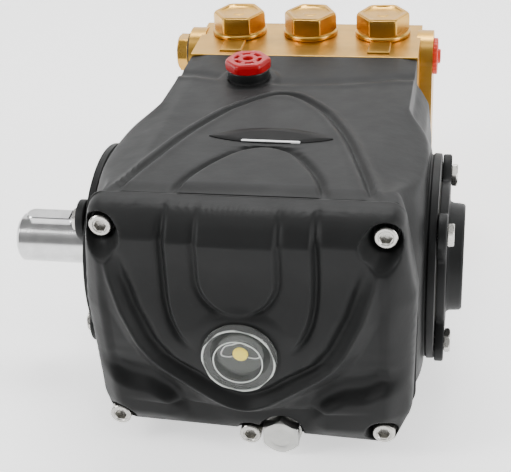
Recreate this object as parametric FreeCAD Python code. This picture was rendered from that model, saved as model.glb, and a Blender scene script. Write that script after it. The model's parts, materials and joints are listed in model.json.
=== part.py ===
import FreeCAD, Part
import math
import os
from FreeCAD import Vector

# Triplex plunger pump with a solid drive shaft. Millimetres, +Z up.
# Everything is drawn about the crank axis, which runs along X, and export() lifts it by crank_height,
# so that the written parts stand on z = 0 with the origin in the middle of the four base holes.
# The drive shaft leaves towards -X, the brass manifold is at +Y and the rear cover at -Y.

# ---------------------------------------------------------------- driving dimensions
crank_height = 62.0
cylinder_pitch = 41.0
crank_throw = 5.0
crank_phase_deg = 120.0
shaft_radius = 12.0
shaft_end_x = -126.2
shaft_chamfer = 1.5
shaft_seat_radius = 14.0
bearing_seat_radius = 15.0
bearing_inner_wall = 5.0
bearing_roller_radius = 2.7
bearing_roller_gap = 0.25
bearing_outer_wall = 5.1
bearing_width = 16.0
roller_count = 14
key_width = 8.0
key_height = 7.0
key_length = 23.0
key_proud = 3.0
key_inset = 4.2
key_turn_deg = 96.0

crankpin_radius = 14.0
crankpin_length = 20.5
web_radius = crankpin_radius + crank_throw + 1.0
rod_big_end_radius = 19.5
rod_big_end_width = 20.0
rod_length = 64.0
rod_shank_height = 15.0
rod_shank_width = 9.0
rod_bolt_offset = 19.0
rod_bolt_radius = 2.5
rod_lug_half_height = 24.0
rod_lug_half_depth = 8.0
rod_split_gap = 0.1
small_end_width = 10.0
small_end_wall = 1.3
small_bush_wall = 0.8
wrist_pin_radius = 3.5
wrist_pin_length = 30.0

crosshead_radius = 17.0
crosshead_back = 15.0
crosshead_front = 16.0
crosshead_slot_gap = 0.5
stem_radius = 8.0
plunger_radius = 9.0
plunger_length = 34.0
plunger_bolt_radius = 4.0
plunger_bolt_head_af = 11.0
plunger_bolt_head_height = 3.5

body_top_half_width = 62.3
body_half_width = 72.0
body_shoulder_z = 32.0
body_flare_z = 5.0
body_top_rear_z = 60.0
body_top_slope = 0.0478
body_step_y = 72.0
body_step_length = 12.0
body_front_top_z = 51.5
body_step_drop = 1.0
base_half_width = 64.0
base_corner_z = -30.0
body_rear_y = -57.0
body_front_y = 117.0
stem_length = body_front_y - 91.0
body_wall = 7.0
neck_bottom_z = -42.0
sump_front_y = 84.0
chamber_half_width = 54.0
chamber_front_y = 38.0
neck_wall = 5.0
bore_wall = 5.0
side_boss_radius = 48.0
side_face_x = 79.6
side_groove_x = 75.0
side_groove_depth = 1.2

shim_thickness = 0.4
side_cover_disc_radius = 35.0
side_cover_ear_radius = 10.0
side_cover_thickness = 4.0
side_bolt_circle = 80.0
side_bolt_af = 10.0
side_bolt_head_height = 3.0
side_screw_radius = 3.0
side_screw_length = 14.0
closed_boss_radius = 25.0
closed_boss_x = side_face_x + 11.8
shaft_seal_radius = 21.0
shaft_seal_width = 7.0

gasket_thickness = 0.6
cover_depth = 17.8
cover_edge_round = 9.0
cover_half_width = 73.0
cover_top_half_width = 67.0
cover_bottom_half_width = 66.0
cover_top_z = 60.0
cover_bottom_z = -57.0
cover_wall = 5.5
cover_bulge_height = 8.9
cover_bulge_base_radius = 42.0
cover_bulge_top_radius = 21.0
cover_screw_x = 60.2
cover_screw_top_z = 49.6
cover_screw_low_z = -46.9
cover_screw_mid_z = -53.0
cover_screw_top_seat = 5.6
cover_screw_low_seat = 12.3
cover_screw_radius = 3.0
cover_screw_length = 22.0
cover_screw_recess = 1.6

glass_z = -1.7
glass_flange_radius = 16.4
glass_flange_height = 6.0
glass_body_radius = 12.9
glass_body_length = 14.0
glass_bore_radius = 10.2
glass_window_thickness = 4.0
indicator_thickness = 1.2
dot_radius = 3.3
dot_height = 1.6

drain_x = 14.2
drain_z = -52.0
drain_boss_radius = 9.0
drain_thread_radius = 6.5
drain_thread_length = 9.0
drain_hex_af = 16.0
drain_hex_height = 7.0

base_bolt_span_x = 104.0
base_bolt_span_y = 80.0
base_hole_radius = 3.4
base_hole_depth = 13.0
base_relief_half_width = 36.0
base_relief_depth = 2.0
foot_wall = 8.0

filler_x = -23.3
filler_y = 82.4
filler_boss_radius = 15.0
filler_boss_top_z = 52.6
filler_seat_radius = 12.0
filler_hole_radius = 8.3
filler_collar_radius = 10.9
filler_collar_height = 4.4
filler_hex_af = 20.4
filler_hex_height = 4.8
filler_stem_radius = 8.0
filler_stem_length = 9.0
filler_ring_radius = 10.4
filler_ring_thickness = 1.2

manifold_half_width = 62.5
manifold_depth = 50.0
manifold_edge_round = 1.5
manifold_top_z = 51.5
manifold_bottom_z = -45.5
port_pad_half_width = 69.5
port_pad_radius = 14.0
valve_y = body_front_y + 34.8
valve_bore_radius = 10.5
valve_thread_radius = 12.0
valve_thread_length = 7.0
chamber_radius = 9.8
seal_bore_radius = 14.0
seal_bore_depth = 17.0
low_pressure_seal_length = 5.0
packing_ring_length = 5.5
gallery_drop = 13.0
gallery_radius = 5.4
outlet_hole_radius = 7.6
inlet_hole_radius = 9.5
port_depth = 13.0
manifold_screw_columns = (-57.0, -20.5, 20.5, 57.0)
manifold_screw_rows = (25.0, -19.0)
manifold_screw_radius = 4.0
manifold_screw_grip = 16.0
cap_af = 26.1
cap_hex_height = 9.7
cap_collar_radius = 15.4
cap_collar_height = 3.0
cap_turns_deg = (2.0, -3.0, 4.0)
cap_stem_reach = 22.5
cap_ring_thickness = 1.5
cap_ring_radius = 13.3
seat_height = 5.0
seat_bore_radius = 6.0
plate_radius = 7.4
plate_thickness = 1.7
valve_lift = 2.0
cage_height = 9.9
cage_wall = 1.4
suction_cage_height = 8.0
suction_cage_radius = 9.0
spring_wire_radius = 0.45
spring_coil_radius = 4.6
spring_turns = 4.0
plug_hex_af = 19.0
plug_hex_height = 6.0
plug_washer_thickness = 1.5
plug_washer_radius = 11.5
plug_thread_length = 10.0
transit_flange_radius = 10.0
transit_flange_thickness = 2.6
transit_body_length = 11.0

# ---------------------------------------------------------------- named clearances
running_gap = 0.05
thread_gap = 0.1
fit_gap = 0.05
free_gap = 0.3

cylinder_x = [-cylinder_pitch, 0.0, cylinder_pitch]
cylinder_phase = [math.radians(crank_phase_deg * i) for i in range(3)]


# ---------------------------------------------------------------- drawing helpers
def cyl_x(radius, x0, x1, y=0.0, z=0.0):
    return Part.makeCylinder(radius, x1 - x0, Vector(x0, y, z), Vector(1, 0, 0))


def cyl_y(radius, y0, y1, x=0.0, z=0.0):
    return Part.makeCylinder(radius, y1 - y0, Vector(x, y0, z), Vector(0, 1, 0))


def cyl_z(radius, z0, z1, x=0.0, y=0.0):
    return Part.makeCylinder(radius, z1 - z0, Vector(x, y, z0), Vector(0, 0, 1))


def block(x0, x1, y0, y1, z0, z1):
    return Part.makeBox(x1 - x0, y1 - y0, z1 - z0, Vector(x0, y0, z0))


def along(start, direction, radius, length):
    """A round bar from a point along a direction."""
    return Part.makeCylinder(radius, length, start, direction)


def hexagon(start, direction, across_flats, height, turn_deg=0.0):
    """A hexagonal prism whose first corner points along X (or Y for a prism along X), then turned."""
    direction = Vector(direction)
    direction.normalize()
    side = Vector(0, 1, 0) if abs(direction.x) > 0.5 else Vector(1, 0, 0)
    other = direction.cross(side)
    reach = across_flats / math.sqrt(3.0)
    corners = []
    for k in range(7):
        angle = math.radians(60.0 * k + turn_deg)
        corners.append(start + side * (reach * math.cos(angle)) + other * (reach * math.sin(angle)))
    return Part.Face(Part.makePolygon(corners)).extrude(direction * height)


def rounded_face(corners, place):
    """A flat face from corners (u, v, radius); place turns (u, v) into a point."""
    edges = []
    count = len(corners)
    starts = []
    ends = []
    for k, (u, v, radius) in enumerate(corners):
        here = Vector(u, v, 0)
        back = Vector(corners[k - 1][0], corners[k - 1][1], 0) - here
        ahead = Vector(corners[(k + 1) % count][0], corners[(k + 1) % count][1], 0) - here
        back.normalize()
        ahead.normalize()
        half = back.getAngle(ahead) / 2.0
        if radius <= 0.0:
            starts.append(here)
            ends.append(here)
            continue
        reach = radius / math.tan(half)
        middle = back + ahead
        middle.normalize()
        first = here + back * reach
        last = here + ahead * reach
        top = here + middle * (radius / math.sin(half) - radius)
        starts.append(first)
        ends.append(last)
        edges.append((k, Part.Arc(place(first), place(top), place(last)).toShape()))
    arcs = dict(edges)
    outline = []
    for k in range(count):
        if k in arcs:
            outline.append(arcs[k])
        first = ends[k]
        last = starts[(k + 1) % count]
        if first.distanceToPoint(last) > 1e-6:
            outline.append(Part.LineSegment(place(first), place(last)).toShape())
    return Part.Face(Part.Wire(outline))


def prism_x(corners, x0, x1):
    """A solid between two X planes with an outline of (y, z, radius) corners."""
    return rounded_face(corners, lambda p: Vector(x0, p.x, p.y)).extrude(Vector(x1 - x0, 0, 0))


def prism_y(corners, y0, y1):
    """A solid between two Y planes with an outline of (x, z, radius) corners."""
    return rounded_face(corners, lambda p: Vector(p.x, y0, p.y)).extrude(Vector(0, y1 - y0, 0))


def mirrored(corners):
    """Closes a half outline given from the top centre down the +X side to the bottom centre."""
    return corners + [(-u, v, r) for u, v, r in reversed(corners)]


def socket_screw(seat, direction, shank_radius, shank_length, key_af):
    """A socket-head screw: seat is the middle of the head's under face, direction points out of the hole."""
    head_radius = shank_radius * 1.65
    head_height = shank_radius * 2.0
    direction = Vector(direction)
    head = along(seat, direction, head_radius, head_height)
    shank = along(seat, direction * -1.0, shank_radius, shank_length)
    socket = hexagon(seat + direction * (head_height * 0.45), direction, key_af, head_height)
    return head.fuse(shank).cut(socket).removeSplitter()


def hex_screw(seat, direction, shank_radius, shank_length, across_flats, head_height, turn_deg=0.0):
    direction = Vector(direction)
    head = hexagon(seat, direction, across_flats, head_height, turn_deg)
    crown = along(seat, direction, across_flats * 0.545, head_height)
    shank = along(seat, direction * -1.0, shank_radius, shank_length)
    return head.common(crown).fuse(shank).removeSplitter()


def carve(body, tools):
    """Takes the tools out of the body one after another."""
    for tool in tools:
        body = body.cut(tool)
    return body.removeSplitter()


def export(name, *shapes):
    """Writes one named node, lifted from the crank axis to the base frame."""
    pieces = []
    for shape in shapes:
        pieces.extend(shape.Solids)
    solid = pieces[0] if len(pieces) == 1 else Part.makeCompound(pieces)
    placed = solid.copy()
    placed.translate(Vector(0, 0, crank_height))
    if not placed.isValid():
        raise ValueError("invalid solid: " + name)
    placed.exportStep("parts/" + name + ".step")
    print(name, len(pieces), round(placed.Volume / 1000.0, 2))


# ---------------------------------------------------------------- places worked out from the sizes
roller_circle = bearing_seat_radius + bearing_inner_wall + bearing_roller_gap + bearing_roller_radius
race_outer_inner = roller_circle + bearing_roller_radius + bearing_roller_gap
bearing_outer_radius = race_outer_inner + bearing_outer_wall
bearing_bore_radius = bearing_outer_radius + fit_gap
side_cover_face_x = side_face_x + shim_thickness
side_ear_face_x = side_cover_face_x + side_cover_thickness
spigot_depth = 5.6
bearing_far_x = side_cover_face_x - spigot_depth - 0.5
bearing_near_x = bearing_far_x - bearing_width
end_web_x = bearing_near_x - 0.5

bush_outer_radius = wrist_pin_radius + crank_throw + free_gap + small_bush_wall
small_end_radius = bush_outer_radius + running_gap + small_end_wall
wrist_y = [rod_length + crank_throw * math.cos(a) for a in cylinder_phase]
crankpin_y = [crank_throw * math.cos(a) for a in cylinder_phase]
crankpin_z = [crank_throw * math.sin(a) for a in cylinder_phase]

front_plane_y = body_front_y + manifold_depth
cover_front_y = body_rear_y - gasket_thickness
cover_back_y = cover_front_y - cover_depth
glass_seat_y = cover_back_y - cover_bulge_height
plunger_start = crosshead_front + stem_length
discharge_gallery_z = manifold_top_z - gallery_drop
suction_gallery_z = manifold_bottom_z + gallery_drop
discharge_seat_z = manifold_top_z - cap_stem_reach - cage_height - seat_height
suction_seat_z = manifold_bottom_z + cap_stem_reach
cross_slot_half = small_end_width / 2.0 + crosshead_slot_gap


def cover_screw_places():
    """Each rear cover screw as x, z and the depth of its flange."""
    return [
        (-cover_screw_x, cover_screw_top_z, cover_screw_top_seat),
        (cover_screw_x, cover_screw_top_z, cover_screw_top_seat),
        (-cover_screw_x, cover_screw_low_z, cover_screw_low_seat),
        (cover_screw_x, cover_screw_low_z, cover_screw_low_seat),
        (0.0, cover_screw_mid_z, cover_screw_low_seat),
    ]


def side_screw_places():
    reach = side_bolt_circle / 2.0 * math.sqrt(0.5)
    return [(sy * reach, sz * reach) for sy in (-1, 1) for sz in (-1, 1)]


def body_top_z(y):
    return body_top_rear_z - body_top_slope * (y - body_rear_y)


# ---------------------------------------------------------------- crankcase
def make_crankcase():
    side_view = [
        (body_rear_y, body_top_z(body_rear_y), 4.0),
        (body_step_y, body_top_z(body_step_y), 6.0),
        (body_step_y + body_step_length, body_front_top_z + body_step_drop, 6.0),
        (body_front_y, body_front_top_z, 1.0),
        (body_front_y, neck_bottom_z, 2.0),
        (sump_front_y + 12.0, neck_bottom_z, 8.0),
        (sump_front_y, -crank_height, 4.0),
        (body_rear_y, -crank_height, 2.0),
    ]
    front_view = mirrored([
        (body_top_half_width, body_top_rear_z + 5.0, 0.0),
        (body_top_half_width, body_shoulder_z, 6.0),
        (body_half_width - 2.5, body_shoulder_z - 9.0, 6.0),
        (body_half_width, body_flare_z, 12.0),
        (body_half_width, base_corner_z, 20.0),
        (base_half_width, -crank_height - 5.0, 0.0),
    ])
    body = prism_x(side_view, -side_face_x, side_face_x)
    body = body.common(prism_y(front_view, body_rear_y - 1.0, body_front_y + 1.0))
    extras = [cyl_x(side_boss_radius, -side_face_x, side_face_x)]
    for x, z, _ in cover_screw_places()[:2]:
        extras.append(cyl_y(8.5, body_rear_y, body_rear_y + 30.0, x - math.copysign(2.0, x), z))
    extras.append(cyl_z(filler_boss_radius, manifold_top_z - body_wall, filler_boss_top_z, filler_x, filler_y))
    body = body.fuse(extras)
    floor_z = -crank_height
    trim = [block(-100.0, 100.0, -100.0, 200.0, floor_z - 20.0, floor_z)]
    for sign in (-1, 1):
        ring = cyl_x(side_boss_radius + 5.0, -0.7, 0.7).cut(cyl_x(side_boss_radius - side_groove_depth, -1.0, 1.0))
        ring.translate(Vector(sign * (side_groove_x - 0.7), 0, 0))
        trim.append(ring)

    chamber_top = body_top_z(chamber_front_y) - body_wall
    chamber_bottom = floor_z + body_wall + 1.0
    trim.append(block(-chamber_half_width, chamber_half_width, body_rear_y - 1.0, chamber_front_y,
                      chamber_bottom, chamber_top))
    neck_back = chamber_front_y - 1.0
    neck_front = body_front_y - 24.0
    neck_half = body_top_half_width - body_wall - 4.0
    upper_floor = crosshead_radius + bore_wall
    trim.append(block(-neck_half, neck_half, neck_back, neck_front,
                      upper_floor, body_front_top_z - body_wall - 1.0))
    trim.append(block(-neck_half, neck_half, neck_back, neck_front,
                      neck_bottom_z + neck_wall, -upper_floor))
    for x in cylinder_x:
        trim.append(cyl_y(crosshead_radius + running_gap, neck_back, neck_front, x))
        trim.append(cyl_y(stem_radius + free_gap, neck_front - 1.0, body_front_y + 1.0, x))
        trim.append(cyl_y(12.0 + fit_gap, neck_front, neck_front + 7.0, x))
        trim.append(cyl_y(seal_bore_radius - 1.0, neck_front + 7.5, body_front_y + 1.0, x))
        trim.append(cyl_z(3.0, neck_bottom_z - 1.0, -seal_bore_radius + 2.0, x, body_front_y - 8.0))
    trim.append(cyl_x(bearing_bore_radius, -side_face_x - 1.0, -chamber_half_width + 1.0))
    trim.append(cyl_x(bearing_bore_radius, chamber_half_width - 1.0, side_face_x + 1.0))
    trim.append(cyl_z(filler_hole_radius, neck_bottom_z + neck_wall + 50.0, filler_boss_top_z + 1.0,
                      filler_x, filler_y))
    trim.append(cyl_z(filler_seat_radius, filler_boss_top_z, filler_boss_top_z + 20.0, filler_x, filler_y))
    for x, z, seat in cover_screw_places():
        grip = cover_screw_length - seat - gasket_thickness + 1.0
        trim.append(cyl_y(cover_screw_radius + thread_gap, body_rear_y - 1.0, body_rear_y + grip, x, z))
    for y, z in side_screw_places():
        depth = side_screw_length - side_cover_thickness - shim_thickness + 1.0
        trim.append(cyl_x(side_screw_radius + thread_gap, side_face_x - depth, side_face_x + 1.0, y, z))
        trim.append(cyl_x(side_screw_radius + thread_gap, -side_face_x - 1.0, -side_face_x + depth, y, z))
    for x in manifold_screw_columns:
        for z in manifold_screw_rows:
            trim.append(cyl_y(manifold_screw_radius + thread_gap, body_front_y - manifold_screw_grip - 1.0,
                              body_front_y + 1.0, x, z))
    for sx in (-1, 1):
        for sy in (-1, 1):
            trim.append(cyl_z(base_hole_radius, floor_z - 1.0, floor_z + base_hole_depth,
                              sx * base_bolt_span_x / 2.0, sy * base_bolt_span_y / 2.0))
    trim.append(block(-base_relief_half_width, base_relief_half_width, body_rear_y - 1.0,
                      sump_front_y + 30.0, floor_z - 1.0, floor_z + base_relief_depth))
    trim.append(block(-neck_half, neck_half, chamber_front_y + foot_wall, sump_front_y - foot_wall,
                      floor_z - 1.0, neck_bottom_z - neck_wall + 3.0))
    export("crankcase", carve(body, trim))


# ---------------------------------------------------------------- rear cover and its pieces
def cover_outline():
    return mirrored([
        (cover_top_half_width, cover_top_z, 7.0),
        (cover_half_width, 22.0, 20.0),
        (cover_half_width, -38.0, 12.0),
        (cover_bottom_half_width, cover_bottom_z, 5.0),
    ])


def pocket_outline():
    side = chamber_half_width
    top = body_top_z(chamber_front_y) - body_wall
    bottom = -crank_height + body_wall + 5.0
    return mirrored([(side, top, 8.0), (side, bottom, 8.0)])


def make_rear_cover():
    plate = prism_y(cover_outline(), cover_back_y, cover_front_y)
    back_edges = []
    for edge in plate.Edges:
        box = edge.BoundBox
        if box.YMax < cover_back_y + 0.01 and box.ZMax > cover_bottom_z + 2.0:
            back_edges.append(edge)
    plate = plate.makeFillet(cover_edge_round, back_edges)
    bulge = Part.makeCone(cover_bulge_base_radius, cover_bulge_top_radius, cover_bulge_height,
                          Vector(0, cover_back_y + 0.01, glass_z), Vector(0, -1, 0))
    boss = cyl_y(drain_boss_radius, cover_front_y - cover_screw_low_seat + 0.3, cover_front_y, drain_x, drain_z)
    plate = plate.fuse([bulge, boss])
    pocket_depth = cover_depth - cover_wall
    trim = [prism_y(pocket_outline(), cover_front_y - pocket_depth, cover_front_y + 1.0)]
    trim.append(cyl_y(glass_body_radius + thread_gap, glass_seat_y - 1.0, cover_front_y, 0.0, glass_z))
    trim.append(cyl_y(glass_body_radius + 8.0, glass_seat_y + cover_wall, cover_front_y, 0.0, glass_z))
    trim.append(cyl_y(drain_thread_radius - 0.6, cover_back_y - 5.0, cover_front_y - 3.0, drain_x, drain_z))
    drain_face = cover_front_y - cover_screw_low_seat + 0.3
    trim.append(cyl_y(drain_boss_radius + 2.0, cover_back_y - 30.0, drain_face, drain_x, drain_z))
    for x, z, seat in cover_screw_places():
        head = cover_screw_radius * 1.65 + cover_screw_recess
        trim.append(cyl_y(cover_screw_radius + thread_gap, cover_back_y - 1.0, cover_front_y + 1.0, x, z))
        trim.append(cyl_y(head, cover_back_y - 30.0, cover_front_y - seat, x, z))
    export("rear_cover", carve(plate, trim))

    gasket = prism_y(cover_outline(), cover_front_y, body_rear_y)
    holes = [prism_y(pocket_outline(), cover_front_y - 1.0, body_rear_y + 1.0)]
    for x, z, _ in cover_screw_places():
        holes.append(cyl_y(cover_screw_radius + thread_gap, cover_front_y - 1.0, body_rear_y + 1.0, x, z))
    gasket = gasket.cut(holes)
    export("rear_cover_gasket", max(gasket.Solids, key=lambda s: s.Volume))

    screws = []
    for x, z, seat in cover_screw_places():
        screws.append(socket_screw(Vector(x, cover_front_y - seat, z), (0, -1, 0), cover_screw_radius,
                                   cover_screw_length, 5.0))
    export("rear_cover_screws", *screws)


def make_sight_glass():
    seal_thickness = 1.2
    flange_inner_y = glass_seat_y - seal_thickness
    outer_y = flange_inner_y - glass_flange_height + seal_thickness
    glass = cyl_y(glass_flange_radius, outer_y, flange_inner_y, 0.0, glass_z)
    glass = glass.makeFillet(1.6, [e for e in glass.Edges if e.BoundBox.YMax < outer_y + 0.01])
    body = cyl_y(glass_body_radius, flange_inner_y, flange_inner_y + glass_body_length, 0.0, glass_z)
    hollow = cyl_y(glass_bore_radius, outer_y + glass_window_thickness, flange_inner_y + glass_body_length + 1.0,
                   0.0, glass_z)
    export("sight_glass", glass.fuse(body).cut(hollow).removeSplitter())
    ring = cyl_y(glass_flange_radius - 0.8, flange_inner_y, glass_seat_y, 0.0, glass_z)
    ring = ring.cut(cyl_y(glass_body_radius + thread_gap, flange_inner_y - 1.0, glass_seat_y + 1.0, 0.0, glass_z))
    plate_y = outer_y + glass_window_thickness + dot_height + 0.6
    plate = cyl_y(glass_bore_radius - fit_gap, plate_y, plate_y + indicator_thickness, 0.0, glass_z)
    windows = []
    for k in range(6):
        angle = math.radians(60.0 * k + 30.0)
        windows.append(cyl_y(1.6, plate_y - 1.0, plate_y + indicator_thickness + 1.0,
                             6.6 * math.cos(angle), glass_z + 6.6 * math.sin(angle)))
    export("oil_level_reflector", plate.cut(windows))
    export("oil_level_dot", cyl_y(dot_radius, plate_y - dot_height, plate_y, 0.0, glass_z))
    return ring


def make_drain_plug():
    seat_y = cover_front_y - cover_screw_low_seat + 0.3
    washer = cyl_y(drain_boss_radius, seat_y - plug_washer_thickness, seat_y, drain_x, drain_z)
    washer = washer.cut(cyl_y(drain_thread_radius, seat_y - 5.0, seat_y + 1.0, drain_x, drain_z))
    start = Vector(drain_x, seat_y - plug_washer_thickness, drain_z)
    out = Vector(0, -1, 0)
    head = hexagon(start, out, drain_hex_af, drain_hex_height, 30.0)
    crown = Part.makeCone(drain_hex_af * 0.70, drain_hex_af * 0.48, drain_hex_height + 0.01, start, out)
    thread = along(start, out * -1.0, drain_thread_radius - 0.7, drain_thread_length)
    dish = cyl_y(drain_hex_af * 0.30, start.y - drain_hex_height - 1.0, start.y - drain_hex_height + 0.6,
                 drain_x, drain_z)
    export("drain_plug", head.common(crown).fuse(thread).cut(dish).removeSplitter())
    return washer


# ---------------------------------------------------------------- side covers
def side_cover(sign):
    """A side cover drawn for +X and mirrored for the shaft side."""
    disc = cyl_x(side_cover_disc_radius, side_cover_face_x, side_ear_face_x)
    parts = []
    for y, z in side_screw_places():
        parts.append(cyl_x(side_cover_ear_radius, side_cover_face_x, side_ear_face_x, y, z))
    spigot = cyl_x(bearing_bore_radius - fit_gap, side_cover_face_x - spigot_depth, side_cover_face_x)
    spigot = spigot.cut(cyl_x(race_outer_inner, side_cover_face_x - spigot_depth - 1.0, side_cover_face_x - 0.01))
    parts.append(spigot)
    if sign > 0:
        boss = cyl_x(closed_boss_radius, side_ear_face_x, closed_boss_x)
        parts.append(boss.makeChamfer(1.2, [e for e in boss.Edges if e.BoundBox.XMin > closed_boss_x - 0.01]))
    else:
        parts.append(cyl_x(shaft_seal_radius + 4.0, side_cover_face_x - spigot_depth, side_ear_face_x))
    body = disc.fuse(parts)
    trim = []
    for y, z in side_screw_places():
        trim.append(cyl_x(side_screw_radius + thread_gap, side_cover_face_x - 1.0, side_ear_face_x + 1.0, y, z))
    if sign > 0:
        trim.append(cyl_x(closed_boss_radius - 6.0, side_cover_face_x - 1.0, closed_boss_x - 5.0))
    else:
        trim.append(cyl_x(shaft_seal_radius + fit_gap, side_ear_face_x - shaft_seal_width, side_ear_face_x + 1.0))
        trim.append(cyl_x(shaft_seat_radius + 2.0, side_cover_face_x - spigot_depth - 1.0, side_ear_face_x))
    body = carve(body, trim)
    if sign < 0:
        body = body.mirror(Vector(0, 0, 0), Vector(1, 0, 0))
    return body


def make_side_covers():
    export("closed_side_cover", side_cover(1))
    export("shaft_side_cover", side_cover(-1))
    shims = []
    screws = []
    for sign in (-1, 1):
        ring = cyl_x(side_cover_disc_radius, side_face_x, side_cover_face_x)
        ring = ring.cut(cyl_x(bearing_bore_radius, side_face_x - 1.0, side_cover_face_x + 1.0))
        ring = ring.copy() if sign > 0 else ring.mirror(Vector(0, 0, 0), Vector(1, 0, 0))
        shims.append(ring)
        for k, (y, z) in enumerate(side_screw_places()):
            seat = Vector(sign * side_ear_face_x, y, z)
            screws.append(hex_screw(seat, (sign, 0, 0), side_screw_radius, side_screw_length, side_bolt_af,
                                    side_bolt_head_height, 11.0 * k + 7.0))
    export("cover_shims", *shims)
    export("side_cover_screws", *screws)
    seal = cyl_x(shaft_seal_radius, -side_ear_face_x, -side_ear_face_x + shaft_seal_width)
    seal = seal.cut(cyl_x(shaft_seat_radius + running_gap, -side_ear_face_x - 1.0, -side_ear_face_x + 20.0))
    lip = cyl_x(shaft_seal_radius - 3.0, -side_ear_face_x - 1.0, -side_ear_face_x + 1.0)
    lip = lip.cut(cyl_x(shaft_seat_radius + 1.5, -side_ear_face_x - 2.0, -side_ear_face_x + 2.0))
    export("shaft_seal", seal.cut(lip))


# ---------------------------------------------------------------- crankshaft and bearings
def key_bar(gap, height):
    """The key's plan, round at the free end and square at the shoulder, drawn upright over the shaft."""
    start = shaft_end_x + key_inset - gap
    end = shaft_end_x + key_inset + key_length + gap
    half = key_width / 2.0 + gap
    foot = shaft_radius + key_proud - key_height
    tip = cyl_z(half, foot, foot + height, start + half, 0.0)
    return tip.fuse(block(start + half, end, -half, half, foot, foot + height)).removeSplitter()


def make_crankshaft():
    parts = [cyl_x(shaft_radius, shaft_end_x, -side_ear_face_x)]
    parts[0] = parts[0].makeChamfer(shaft_chamfer,
                                    [e for e in parts[0].Edges if e.BoundBox.XMax < shaft_end_x + 0.01])
    parts.append(cyl_x(shaft_seat_radius, -side_ear_face_x - 1.2, -bearing_far_x))
    parts.append(cyl_x(bearing_seat_radius, -bearing_far_x, bearing_far_x - 0.5))
    half_pin = crankpin_length / 2.0
    edges = [-end_web_x]
    for x in cylinder_x:
        edges.extend([x - half_pin, x + half_pin])
    edges.append(end_web_x)
    webs = [cyl_x(web_radius, edges[k], edges[k + 1]) for k in range(0, len(edges), 2)]
    shaft = parts[0].fuse(parts[1:])
    windows = [cyl_x(web_radius + 10.0, x - half_pin, x + half_pin) for x in cylinder_x]
    shaft = shaft.cut(windows).fuse(webs)
    pins = []
    for x, y, z in zip(cylinder_x, crankpin_y, crankpin_z):
        pins.append(cyl_x(crankpin_radius, x - half_pin, x + half_pin, y, z))
    shaft = shaft.fuse(pins)
    turn = (Vector(0, 0, 0), Vector(1, 0, 0), key_turn_deg - 90.0)
    slot = key_bar(fit_gap, key_height + 5.0)
    slot.rotate(*turn)
    shaft = shaft.cut(slot).removeSplitter()
    export("crankshaft", shaft)
    key = key_bar(0.0, key_height)
    top = [e for e in key.Edges if e.BoundBox.ZMin > shaft_radius + key_proud - 0.01]
    key = key.makeChamfer(0.5, top)
    key.rotate(*turn)
    export("shaft_key", key)


def make_bearings():
    inner = []
    outer = []
    rollers = []
    cages = []
    for sign in (-1, 1):
        x0, x1 = sorted((sign * bearing_near_x, sign * bearing_far_x))
        ring = cyl_x(bearing_seat_radius + bearing_inner_wall, x0, x1)
        inner.append(ring.cut(cyl_x(bearing_seat_radius + 0.02, x0 - 1.0, x1 + 1.0)))
        ring = cyl_x(bearing_outer_radius, x0, x1)
        outer.append(ring.cut(cyl_x(race_outer_inner, x0 - 1.0, x1 + 1.0)))
        for k in range(roller_count):
            angle = 2.0 * math.pi * k / roller_count
            y = roller_circle * math.cos(angle)
            z = roller_circle * math.sin(angle)
            rollers.append(cyl_x(bearing_roller_radius, x0 + 2.5, x1 - 2.5, y, z))
        for a, b in ((x0 + 1.0, x0 + 2.4), (x1 - 2.4, x1 - 1.0)):
            ring = cyl_x(roller_circle + 1.6, a, b)
            cages.append(ring.cut(cyl_x(roller_circle - 1.6, a - 1.0, b + 1.0)))
    export("bearing_inner_rings", *inner)
    export("bearing_outer_rings", *outer)
    export("bearing_rollers", *rollers)
    export("bearing_cages", *cages)


# ---------------------------------------------------------------- one cylinder's moving train
def make_con_rod(i):
    x = cylinder_x[i]
    y = crankpin_y[i]
    z = crankpin_z[i]
    half = rod_big_end_width / 2.0
    big = cyl_x(rod_big_end_radius, x - half, x + half, y, z)
    lugs = block(x - half + 2.0, x + half - 2.0, y - rod_lug_half_depth, y + rod_lug_half_depth,
                 z - rod_lug_half_height, z + rod_lug_half_height)
    shank = block(x - rod_shank_width / 2.0, x + rod_shank_width / 2.0, y, y + rod_length,
                  z - rod_shank_height / 2.0, z + rod_shank_height / 2.0)
    eye = cyl_x(small_end_radius, x - small_end_width / 2.0, x + small_end_width / 2.0, y + rod_length, z)
    rod = big.fuse([lugs, shank, eye])
    rod = rod.cut([
        cyl_x(crankpin_radius + running_gap, x - 50.0, x + 50.0, y, z),
        cyl_x(bush_outer_radius + running_gap, x - 50.0, x + 50.0, y + rod_length, z),
    ])
    bolts = []
    holes = []
    for sign in (-1, 1):
        seat = Vector(x, y - rod_lug_half_depth, z + sign * rod_bolt_offset)
        holes.append(along(seat + Vector(0, -5, 0), Vector(0, 1, 0), rod_bolt_radius + thread_gap,
                           2.0 * rod_lug_half_depth + 10.0))
        bolts.append(hex_screw(seat, (0, -1, 0), rod_bolt_radius, 2.0 * rod_lug_half_depth - 1.0, 8.0, 3.0))
    rod = rod.cut(holes)
    far = 60.0
    gap = rod_split_gap / 2.0
    upper = rod.cut(block(x - far, x + far, y - far, y + gap, z - far, z + far))
    lower = rod.common(block(x - far, x + far, y - far, y - gap, z - far, z + far))
    export("con_rod_%d" % (i + 1), upper.removeSplitter(), lower.removeSplitter(), *bolts)
    bush = cyl_x(bush_outer_radius, x - small_end_width / 2.0, x + small_end_width / 2.0, y + rod_length, z)
    bush = bush.cut(cyl_x(bush_outer_radius - small_bush_wall, x - 50.0, x + 50.0, y + rod_length, z))
    export("small_end_bush_%d" % (i + 1), bush)
    half_pin = wrist_pin_length / 2.0
    export("wrist_pin_%d" % (i + 1), cyl_x(wrist_pin_radius, x - half_pin, x + half_pin, wrist_y[i], 0.0))


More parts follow.
